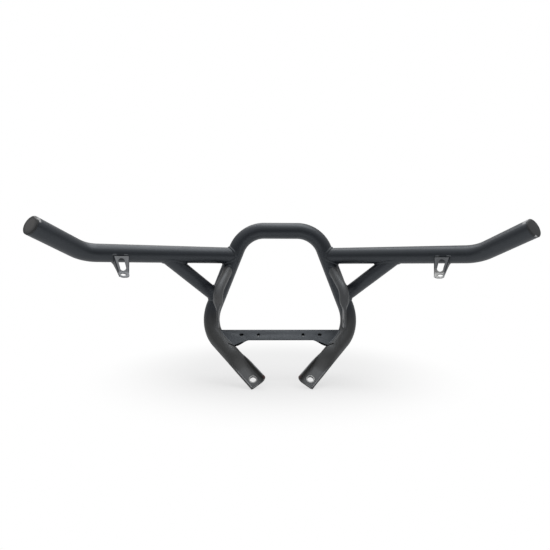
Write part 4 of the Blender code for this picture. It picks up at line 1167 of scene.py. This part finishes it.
def plate_nut(place):
    """A hexagon nut welded behind a hole of the plate, its corners rounded and its bore drilled."""
    front = place - SLOPE_OUT * PLATE_THICKNESS
    bpy.ops.object.select_all(action="DESELECT")
    bpy.ops.mesh.primitive_cylinder_add(vertices=6, radius=PLATE_NUT_ACROSS / (2 * cos(pi / 6)),
                                        depth=PLATE_NUT_HEIGHT,
                                        location=front - SLOPE_OUT * (PLATE_NUT_HEIGHT / 2),
                                        rotation=(-SLOPE_OUT).to_track_quat("Z", "Y").to_euler())
    nut = bpy.context.object
    apply_place(nut)
    apply_modifier(nut, "BEVEL", width=PLATE_NUT_HEIGHT / 12, segments=2, limit_method="ANGLE",
                   angle_limit=radians(40.0))
    cut(nut, round_cutter(place, front - SLOPE_OUT * PLATE_NUT_HEIGHT * 2, PLATE_NUT_BORE / 2))
    return nut


class MESH_OT_bumper_plate(bpy.types.Operator):
    """Models the cross plate with its slots, its holes and the nuts behind them"""
    bl_idname = "mesh.bumper_plate"
    bl_label = "Cross Plate"

    def execute(self, context):
        middle = basis(-SLOPE_OUT * PLATE_THICKNESS / 2, RIGHT, SLOPE_UP, SLOPE_OUT)
        plate = outline_solid(plate_outline(), PLATE_THICKNESS, middle)
        straight = (PLATE_SLOT_LENGTH - PLATE_SLOT_WIDTH) / 2
        for side in (1, -1):
            centre = side * PLATE_SLOT_HALF
            slot = arc(centre + straight, 0.0, PLATE_SLOT_WIDTH / 2, -90.0, 90.0, CORNER_STEPS)
            slot += arc(centre - straight, 0.0, PLATE_SLOT_WIDTH / 2, 90.0, 270.0, CORNER_STEPS)
            cut(plate, outline_solid(slot, PLATE_THICKNESS * 2, middle))
            hole = RIGHT * side * PLATE_HOLE_HALF
            cut(plate, round_cutter(hole - SLOPE_OUT * PLATE_THICKNESS * 2,
                                    hole + SLOPE_OUT * PLATE_THICKNESS, PLATE_HOLE_D / 2))
        apply_modifier(plate, "BEVEL", width=context.scene.bumper_detail.edge_round, segments=3,
                       limit_method="ANGLE", angle_limit=radians(60.0))
        right_half = hoop_cutter()
        cut(plate, mirror_copy(right_half, "left_half"))
        cut(plate, right_half)
        finish_piece(plate, "cross_plate_skin", plate_coat())
        # Nuts behind the holes, in a near-black, dull coat that is painted shade
        for place, word in ((PLATE_SLOT_HALF, "outer"), (PLATE_HOLE_HALF, "inner")):
            nut = plate_nut(RIGHT * place)
            left = mirror_copy(nut, f"plate_nut_{word}_left")
            finish_fitting(nut, f"plate_nut_{word}_right", nut_shade_coat())
            finish_fitting(left, f"plate_nut_{word}_left", nut_shade_coat())
        return {"FINISHED"}


def bracket_edge(end, drop):
    """How far a side of the bracket lies along the wing at a height below its axis: end 1 is the outer."""
    share = (drop - BRACKET_TOP_DROP) / (BRACKET_BOTTOM_DROP - BRACKET_TOP_DROP)
    half = BRACKET_TOP_HALF + (BRACKET_FOOT_HALF - BRACKET_TOP_HALF) * share
    return BRACKET_FOOT_SHIFT * share + end * half


def bracket_reach(end, drop):
    """How far forward of the face a side flange runs at a height below the wing's axis."""
    full = BRACKET_REACH_OUTER if end > 0 else BRACKET_REACH_INNER
    under_tube = TUBE_OD / 2 + JOINT_GAP
    if drop <= under_tube:
        return full
    share = (drop - under_tube) / (BRACKET_BOTTOM_DROP - under_tube)
    return full + (BRACKET_REACH_LOW - full) * share ** BRACKET_FLANGE_HOLLOW


def bracket_row(drop):
    """The folded sheet's middle line seen from above, as (along the wing, out from its axis)."""
    inner = bracket_edge(-1, drop) + BRACKET_SHEET / 2
    outer = bracket_edge(1, drop) - BRACKET_SHEET / 2
    fold = BRACKET_FOLD_RADIUS
    splay = (bracket_reach(1, drop) - fold) * tan(BRACKET_SPLAY)
    row = [(inner, BRACKET_FACE - bracket_reach(-1, drop))]
    row += arc(inner + fold, BRACKET_FACE - fold, fold, 180.0, 90.0, FOLD_STEPS)
    row += arc(outer - fold, BRACKET_FACE - fold, fold, 90.0, 0.0, FOLD_STEPS)
    row.append((outer + splay, BRACKET_FACE - bracket_reach(1, drop)))
    return row


def bracket_channel():
    """The face and its two flanges as one open sheet, its flanges hollowed towards the foot."""
    under_tube = TUBE_OD / 2 + JOINT_GAP
    drops = [BRACKET_TOP_DROP]
    drops += [under_tube + (BRACKET_BOTTOM_DROP - under_tube) * (index / ROW_STEPS) ** 2
              for index in range(ROW_STEPS + 1)]
    rows = [bracket_row(drop) for drop in drops]
    columns = len(rows[0]) - 1

    def place(across, down):
        level = round(down * (len(drops) - 1))
        x, y = rows[level][round(across * columns)]
        return BRACKET_PLACE + WING_DIRECTION * x + WING_REAR * y - UP * drops[level]

    return grid_sheet(len(drops) - 1, columns, place)


def bracket_cutters():
    """What is cut from the face: the tapered slot, and the gap between the flanges under the fold."""
    matrix = basis(BRACKET_PLACE + WING_REAR * BRACKET_FACE, WING_DIRECTION, UP, WING_DIRECTION.cross(UP))
    top_radius, low_radius = BRACKET_SLOT_TOP_D / 2, BRACKET_SLOT_BOTTOM_D / 2
    top_drop = BRACKET_SLOT_TOP_DROP + top_radius
    low_drop = BRACKET_SLOT_BOTTOM_DROP - low_radius
    top_x = (bracket_edge(1, top_drop) + bracket_edge(-1, top_drop)) / 2 + BRACKET_SLOT_TOP_SHIFT
    low_x = (bracket_edge(1, low_drop) + bracket_edge(-1, low_drop)) / 2
    slot = arc(top_x, -top_drop, top_radius, 0.0, 180.0, HOLE_SIDES // 2)
    slot += arc(low_x, -low_drop, low_radius, 180.0, 360.0, HOLE_SIDES // 2)
    fold = BRACKET_FOLD_DROP + BRACKET_SHEET / 2
    below = BRACKET_BOTTOM_DROP + BRACKET_SHEET
    inset = BRACKET_SHEET + JOINT_GAP
    gap = [(bracket_edge(-1, fold) + inset, -fold), (bracket_edge(-1, below) + inset, -below),
           (bracket_edge(1, below) - inset, -below), (bracket_edge(1, fold) - inset, -fold)]
    depth = (BRACKET_FOLD_RADIUS + BRACKET_SHEET) * 2
    return [outline_solid(slot, depth, matrix), outline_solid(gap, depth, matrix)]


def bracket_foot():
    """The foot: a tongue with a hole, folded out and down."""
    slope = (WING_REAR * cos(BRACKET_TAB_SLOPE) - UP * sin(BRACKET_TAB_SLOPE)).normalized()
    normal = WING_DIRECTION.cross(slope)
    left = bracket_edge(-1, BRACKET_FOLD_DROP) + BRACKET_TAB_INSET_INNER
    right = bracket_edge(1, BRACKET_FOLD_DROP) - BRACKET_TAB_INSET_OUTER
    corner = BRACKET_TAB_CORNER
    end = BRACKET_TAB_LENGTH - corner
    outline = [(left, -BRACKET_TAB_ROOT), (right, -BRACKET_TAB_ROOT)]
    outline += arc(right - corner, end, corner, 0.0, 90.0, CORNER_STEPS)
    outline += arc(left + corner, end, corner, 90.0, 180.0, CORNER_STEPS)
    root = BRACKET_PLACE + WING_REAR * BRACKET_FACE - UP * BRACKET_FOLD_DROP
    foot = outline_solid(outline, BRACKET_SHEET, basis(root, WING_DIRECTION, slope, normal))
    middle = (left + right) / 2 + BRACKET_HOLE_SHIFT
    hole = root + WING_DIRECTION * middle + slope * BRACKET_HOLE_FROM_FOLD
    cut(foot, round_cutter(hole - normal * BRACKET_SHEET, hole + normal * BRACKET_SHEET, BRACKET_HOLE_D / 2))
    return foot


class MESH_OT_bumper_brackets(bpy.types.Operator):
    """Models the two folded brackets under the wings"""
    bl_idname = "mesh.bumper_brackets"
    bl_label = "Wing Brackets"

    def execute(self, context):
        bracket = bracket_channel()
        apply_modifier(bracket, "SOLIDIFY", thickness=BRACKET_SHEET, offset=0.0, use_even_offset=True)
        for cutter in bracket_cutters():
            cut(bracket, cutter)
        cut(bracket, wing_cutter())
        cut(bracket, bracket_foot(), "UNION")
        edit_all(bracket)
        bpy.ops.mesh.dissolve_limited(angle_limit=FLAT_ANGLE)
        leave_edit()
        apply_modifier(bracket, "BEVEL", width=context.scene.bumper_detail.edge_round, segments=2,
                       limit_method="ANGLE", angle_limit=radians(50.0))
        finish_pair(bracket, "wing_bracket", bracket_coat())
        return {"FINISHED"}


class MESH_OT_bumper_caps(bpy.types.Operator):
    """Models the moulded plugs in the wings' ends"""
    bl_idname = "mesh.bumper_caps"
    bl_label = "End Caps"

    def execute(self, context):
        head = TUBE_OD / 2
        plug = head - TUBE_WALL - JOINT_GAP
        bore = plug - CAP_PLUG_WALL
        flat = head - CAP_RIM_RADIUS
        profile = [(bore, 0.0), (bore, -CAP_PLUG_LENGTH), (plug, -CAP_PLUG_LENGTH), (plug, 0.0), (head, 0.0)]
        profile += arc(flat, CAP_HEAD - CAP_RIM_RADIUS, CAP_RIM_RADIUS, 0.0, 90.0, FOLD_STEPS)
        for index in range(FOLD_STEPS - 1, 0, -1):
            share = index / FOLD_STEPS
            profile.append((flat * share, CAP_HEAD + CAP_CROWN * (1 - share * share)))
        start = WING_END + END_DIRECTION * JOINT_GAP
        bpy.ops.object.select_all(action="DESELECT")
        bpy.ops.mesh.primitive_circle_add(vertices=TUBE_SIDES, radius=bore, location=start,
                                          rotation=END_DIRECTION.to_track_quat("Z", "Y").to_euler())
        cap = context.object
        bpy.ops.object.mode_set(mode="EDIT")
        bpy.ops.mesh.select_all(action="SELECT")
        for (radius, height), (next_radius, next_height) in zip(profile, profile[1:]):
            step = END_DIRECTION * (next_height - height)
            bpy.ops.mesh.extrude_region_move(TRANSFORM_OT_translate={"value": step})
            growth = next_radius / radius
            bpy.ops.transform.resize(value=(growth, growth, growth),
                                     center_override=start + END_DIRECTION * next_height)
        bpy.ops.mesh.select_all(action="SELECT")
        bpy.ops.mesh.fill_holes(sides=0)
        leave_edit()
        apply_place(cap)
        face_outwards(cap)
        finish_pair(cap, "end_cap", cap_plastic())
        return {"FINISHED"}


# Weld beads
def seat_on(origin, direction, host, radius, reach):
    """Where a line that starts inside a host tube comes out of its surface."""
    low, high = 0.0, reach
    for _ in range(SEAT_HALVINGS):
        middle = (low + high) / 2
        if distance_to_path(origin + direction * middle, host) < radius:
            low = middle
        else:
            high = middle
    return origin + direction * high


def even_points(points, count, closed):
    """Points at even distances along a polyline."""
    line = points + [points[0]] if closed else points
    length = path_length(line)
    parts = count if closed else count - 1
    return [point_along(line, length * index / parts)[0] for index in range(count)]


def on_surface(point, line, radius):
    """The point moved onto a tube's skin, a little way into the metal, with the skin's normal there."""
    centre = nearest_on_path(point, line)
    normal = (point - centre).normalized()
    return centre + normal * (radius - TOE_DEPTH), normal


def bead_stations(line, closed, toe_finder, leg, detail):
    """Sections along a bead: its two toes and the way out from the joint, at even steps of the ripples."""
    length = path_length(line + [line[0]] if closed else line)
    ripples = max(3, round(length / detail.ripple_pitch))
    points = even_points(line, ripples * detail.bead_steps + (0 if closed else 1), closed)
    stations = []
    for index, point in enumerate(points):
        before = points[index - 1] if closed or index else point
        after = points[(index + 1) % len(points)] if closed or index + 1 < len(points) else point
        tangent = (after - before).normalized()
        swing = 1 + sum(share * sin(index * turn + start) for share, turn, start in BEAD_SWINGS)
        taper = 1.0
        if not closed:
            ends = min(index, len(points) - 1 - index) / (detail.bead_steps * BEAD_END_RIPPLES)
            taper = max(BEAD_END_SIZE, smooth_step(BEAD_END_SIZE + ends))
        stations.append((toe_finder(point, tangent, leg * swing * taper), index / detail.bead_steps, taper))
    return stations


def bead_mesh(name, stations, closed, leg, detail, bulge):
    """A fillet with stacked ripples: each section runs from toe to toe and closes inside the metal."""
    work = bmesh.new()
    rings = []
    for (first, second, out), phase, taper in stations:
        middle = (first + second) / 2
        ring = []
        for index in range(BEAD_SIDES + 1):
            share = index / BEAD_SIDES
            crown = 4 * share * (1 - share)
            wave = (phase + RIPPLE_LAG * crown) % 1.0
            ripple = abs(sin(pi * wave)) ** RIPPLE_SHARPNESS
            rough = detail.ripple_depth * (ripple - RIPPLE_MEAN) * crown ** 0.5
            height = leg * taper * (bulge * crown + rough)
            ring.append(work.verts.new(first.lerp(second, share) + out * height))
        for share in (0.75, 0.25):
            root = middle.lerp(first.lerp(second, share), BEAD_CORE)
            ring.append(work.verts.new(root - out * leg * BEAD_ROOT * taper))
        rings.append(ring)
    pairs = list(zip(rings, rings[1:]))
    if closed:
        pairs.append((rings[-1], rings[0]))
    for ring, following in pairs:
        for index in range(len(ring)):
            after = (index + 1) % len(ring)
            work.faces.new((ring[index], ring[after], following[after], following[index]))
    if not closed:
        work.faces.new(rings[0])
        work.faces.new(rings[-1])
    bmesh.ops.recalc_face_normals(work, faces=work.faces)
    mesh = bpy.data.meshes.new(name)
    work.to_mesh(mesh)
    work.free()
    bead = bpy.data.objects.new(name, mesh)
    bpy.context.scene.collection.objects.link(bead)
    return bead


def ring_bead(name, start, end, diameter, host, leg, detail):
    """The bead round a tube's coped end, on the tube and on its host."""
    axis = (end - start).normalized()
    across = axis.orthogonal().normalized()
    over = axis.cross(across)
    line = []
    for index in range(TUBE_SIDES):
        angle = 2 * pi * index / TUBE_SIDES
        offset = (across * cos(angle) + over * sin(angle)) * (diameter / 2)
        line.append(seat_on(start + offset, axis, host, TUBE_OD / 2, (end - start).length))
    tube_line = [start, end]

    def toes(point, tangent, reach):
        _, host_normal = on_surface(point, host, TUBE_OD / 2)
        _, tube_normal = on_surface(point, tube_line, diameter / 2)
        away = tangent.cross(host_normal).normalized()
        if away.dot(tube_normal) < 0:
            away = -away
        along = tangent.cross(tube_normal).normalized()
        if along.dot(axis) < 0:
            along = -along
        first, _ = on_surface(point + away * reach, host, TUBE_OD / 2)
        second, _ = on_surface(point + along * reach, tube_line, diameter / 2)
        return first, second, (host_normal + tube_normal).normalized()

    stations = bead_stations(line, True, toes, leg, detail)
    return bead_mesh(name, stations, True, leg, detail, RING_BULGE)


def plate_bead(name, detail):
    """The low bead where the plate's end meets the leg."""
    low = PLATE_HEIGHT / 2 - PLATE_END_HEIGHT + PLATE_WELD_RADIUS * 2
    high = PLATE_HEIGHT / 2 - PLATE_WELD_RADIUS
    heights = [low + (high - low) * index / ROW_STEPS for index in range(ROW_STEPS + 1)]
    line = [SLOPE_UP * height + RIGHT * leg_contact(height) for height in heights]

    def toes(point, tangent, reach):
        _, leg_normal = on_surface(point, HOOP_LINE, TUBE_OD / 2)
        up_leg = tangent.cross(leg_normal).normalized()
        if up_leg.dot(SLOPE_OUT) < 0:
            up_leg = -up_leg
        first = point - RIGHT * reach - SLOPE_OUT * PLATE_TOE_DEPTH
        second, _ = on_surface(point + up_leg * reach, HOOP_LINE, TUBE_OD / 2)
        return first, second, (SLOPE_OUT + leg_normal).normalized()

    stations = bead_stations(line, False, toes, PLATE_WELD_RADIUS, detail)
    return bead_mesh(name, stations, False, PLATE_WELD_RADIUS, detail, PLATE_BULGE)


def bracket_bead(name, end, detail):
    """A short tack on the wing tube, just above the bracket's top edge."""
    middle = BRACKET_PLACE + WING_DIRECTION * (end * BRACKET_WELD_HALF_SPAN + BRACKET_WELD_SHIFT)
    middle += UP * (BRACKET_WELD_LIFT - BRACKET_TOP_DROP) + WING_REAR * (TUBE_OD / 2)
    half = WING_DIRECTION * BRACKET_WELD_LENGTH / 2
    line = [middle - half, middle, middle + half]
    wing_line = [WING_START, WING_BEND]

    def toes(point, tangent, reach):
        skin, normal = on_surface(point, wing_line, TUBE_OD / 2)
        over = normal.cross(tangent).normalized()
        first, _ = on_surface(skin + over * reach, wing_line, TUBE_OD / 2)
        second, _ = on_surface(skin - over * reach, wing_line, TUBE_OD / 2)
        return first, second, normal

    stations = bead_stations(line, False, toes, BRACKET_WELD_RADIUS * TACK_TOE_SHARE, detail)
    return bead_mesh(name, stations, False, BRACKET_WELD_RADIUS, detail, TACK_BULGE)


class MESH_OT_bumper_welds(bpy.types.Operator):
    """Models the rippled weld beads of every joint"""
    bl_idname = "mesh.bumper_welds"
    bl_label = "Weld Beads"

    def execute(self, context):
        detail = context.scene.bumper_detail
        coat = weld_coat()
        rings = (
            ("weld_wing", WING_START, WING_BEND, TUBE_OD, HOOP_LINE, WELD_RADIUS),
            ("weld_brace_upper", BRACE_TOP, BRACE_FOOT, BRACE_OD, WING_LINE, WELD_RADIUS),
            ("weld_brace_lower", BRACE_FOOT, BRACE_TOP, BRACE_OD, HOOP_LINE, WELD_RADIUS),
            ("weld_arm", ARM_START, ARM_KNEE, ARM_OD, HOOP_LINE, ARM_WELD_RADIUS),
        )
        for name, start, end, diameter, host, leg in rings:
            bead = ring_bead(name, start, end, diameter, host, leg, detail)
            finish_pair(bead, name, coat, smooth_angle=BEAD_SMOOTH_ANGLE)
        finish_pair(plate_bead("weld_plate", detail), "weld_plate", coat,
                    smooth_angle=BEAD_SMOOTH_ANGLE)
        for end, word in ((1, "outer"), (-1, "inner")):
            bead = bracket_bead(word, end, detail)
            finish_pair(bead, f"weld_bracket_{word}", bracket_weld_coat(),
                        smooth_angle=BEAD_SMOOTH_ANGLE)
        return {"FINISHED"}


# Stage
def studio_world(studio):
    """Even studio walls, brighter overhead; what the camera sees behind the bumper is plain white."""
    world = bpy.data.worlds.new("studio")
    bpy.context.scene.world = world
    world.use_nodes = True
    tree = world.node_tree
    tree.nodes.clear()
    way = tree.nodes.new("ShaderNodeTexCoord").outputs["Generated"]
    parts = add_node(tree, "ShaderNodeSeparateXYZ", {0: way})
    height = number(tree, "MAXIMUM", parts.outputs["Z"], 0.0)
    level = blend_numbers(tree, height, studio.wall_level, studio.sky_level)
    behind = ramp_between(tree, parts.outputs["Y"], -0.1, 0.5)
    seen = blend_numbers(tree, behind, level, studio.backdrop_level)
    rays = tree.nodes.new("ShaderNodeLightPath").outputs
    clear = number(tree, "MAXIMUM", rays["Is Camera Ray"], rays["Is Transmission Ray"])
    mirrored = blend_numbers(tree, rays["Is Glossy Ray"], level, seen)
    strength = blend_numbers(tree, clear, mirrored, 1.0)
    background = add_node(tree, "ShaderNodeBackground", {"Color": WHITE, "Strength": strength})
    output = tree.nodes.new("ShaderNodeOutputWorld")
    tree.links.new(background.outputs[0], output.inputs["Surface"])


def floor_material():
    """A pale floor that keeps the bumper's shadow and melts into the white background."""
    material = bpy.data.materials.new("pale_floor")
    material.use_nodes = True
    tree = material.node_tree
    tree.nodes.clear()
    rays = tree.nodes.new("ShaderNodeLightPath").outputs
    seen = number(tree, "MAXIMUM", rays["Is Camera Ray"],
                  number(tree, "MAXIMUM", rays["Is Glossy Ray"], rays["Is Transmission Ray"]))
    place = tree.nodes.new("ShaderNodeTexCoord").outputs["Object"]
    distance = vector(tree, "DISTANCE", place, SHADOW_MIDDLE).outputs["Value"]
    far = ramp_between(tree, distance, SHADOW_INNER, SHADOW_OUTER)
    shown = blend_numbers(tree, far, FLOOR_GLOW_IN_SHADOW, 1.0)
    glow = blend_numbers(tree, rays["Is Camera Ray"], FLOOR_GLOW_UNSEEN, shown)
    share = number(tree, "MULTIPLY", seen, glow)
    matt = add_node(tree, "ShaderNodeBsdfDiffuse", {"Color": (FLOOR_SHADE, FLOOR_SHADE, FLOOR_SHADE, 1.0)})
    white = add_node(tree, "ShaderNodeEmission", {"Color": WHITE, "Strength": 1.0})
    both = add_node(tree, "ShaderNodeMixShader", {0: share})
    tree.links.new(matt.outputs[0], both.inputs[1])
    tree.links.new(white.outputs[0], both.inputs[2])
    output = tree.nodes.new("ShaderNodeOutputMaterial")
    tree.links.new(both.outputs[0], output.inputs["Surface"])
    return material


class SCENE_OT_bumper_stage(bpy.types.Operator):
    """Sets up the floor, the studio light and the camera"""
    bl_idname = "scene.bumper_stage"
    bl_label = "Studio Stage"

    def execute(self, context):
        studio = context.scene.bumper_studio
        bpy.ops.object.select_all(action="DESELECT")
        bpy.ops.mesh.primitive_plane_add(size=studio.floor_size,
                                         location=(0.0, studio.floor_front + studio.floor_size / 2,
                                                   studio.floor_height))
        floor = context.object
        apply_place(floor)
        floor.name = "studio_floor"
        floor.data.materials.append(floor_material())

        bpy.ops.object.select_all(action="DESELECT")
        bpy.ops.object.light_add(type="AREA", location=TOP_LIGHT_PLACE)
        top = context.object
        top.name = "top_light"
        top.data.energy = studio.top_power
        top.data.shape = "RECTANGLE"
        top.data.size = studio.top_width
        top.data.size_y = studio.top_length
        top.rotation_euler = (0.0, 0.0, TOP_LIGHT_TURN)
        studio_world(studio)

        ahead = Vector((sin(CAMERA_YAW) * cos(CAMERA_PITCH), cos(CAMERA_YAW) * cos(CAMERA_PITCH),
                        sin(CAMERA_PITCH)))
        level_right = Vector((cos(CAMERA_YAW), -sin(CAMERA_YAW), 0.0))
        level_up = level_right.cross(ahead)
        right = level_right * cos(CAMERA_ROLL) + level_up * sin(CAMERA_ROLL)
        up = level_up * cos(CAMERA_ROLL) - level_right * sin(CAMERA_ROLL)
        bpy.ops.object.select_all(action="DESELECT")
        bpy.ops.object.camera_add()
        camera = context.object
        camera.name = "photo_camera"
        camera.data.lens = CAMERA_LENS
        camera.data.sensor_width = CAMERA_SENSOR
        camera.matrix_world = basis(CAMERA_PLACE, right, up, -ahead)
        context.scene.camera = camera
        context.scene.view_settings.view_transform = "Standard"
        return {"FINISHED"}


class VIEW3D_PT_bumper(bpy.types.Panel):
    """Lists the bumper's pieces and what may be changed"""
    bl_idname = "VIEW3D_PT_bumper"
    bl_label = "ATV Front Bumper"
    bl_space_type = "VIEW_3D"
    bl_region_type = "UI"
    bl_category = "Bumper"

    def draw(self, context):
        layout = self.layout
        scene = context.scene
        for group in (scene.bumper_detail, scene.bumper_colours, scene.bumper_studio):
            box = layout.box()
            for name in group.__annotations__:
                box.prop(group, name)
        for operator in OPERATORS:
            layout.operator(operator.bl_idname)


OPERATORS = (MESH_OT_bumper_hoop, MESH_OT_bumper_wings, MESH_OT_bumper_braces, MESH_OT_bumper_arms,
             MESH_OT_bumper_plate, MESH_OT_bumper_brackets, MESH_OT_bumper_caps, MESH_OT_bumper_welds,
             SCENE_OT_bumper_stage)
GROUPS = {"bumper_detail": BumperDetail, "bumper_colours": BumperColours, "bumper_studio": BumperStudio}


def register():
    for kind in (*GROUPS.values(), *OPERATORS, VIEW3D_PT_bumper):
        bpy.utils.register_class(kind)
    for name, kind in GROUPS.items():
        setattr(bpy.types.Scene, name, PointerProperty(type=kind))


def unregister():
    for name in GROUPS:
        delattr(bpy.types.Scene, name)
    for kind in (VIEW3D_PT_bumper, *reversed(OPERATORS), *reversed(list(GROUPS.values()))):
        bpy.utils.unregister_class(kind)


def main():
    """Makes the pieces and the stage in order."""
    register()
    bpy.ops.mesh.bumper_hoop()
    bpy.ops.mesh.bumper_wings()
    bpy.ops.mesh.bumper_braces()
    bpy.ops.mesh.bumper_arms()
    bpy.ops.mesh.bumper_plate()
    bpy.ops.mesh.bumper_brackets()
    bpy.ops.mesh.bumper_caps()
    bpy.ops.mesh.bumper_welds()
    bpy.ops.scene.bumper_stage()


if __name__ == "__main__":
    main()
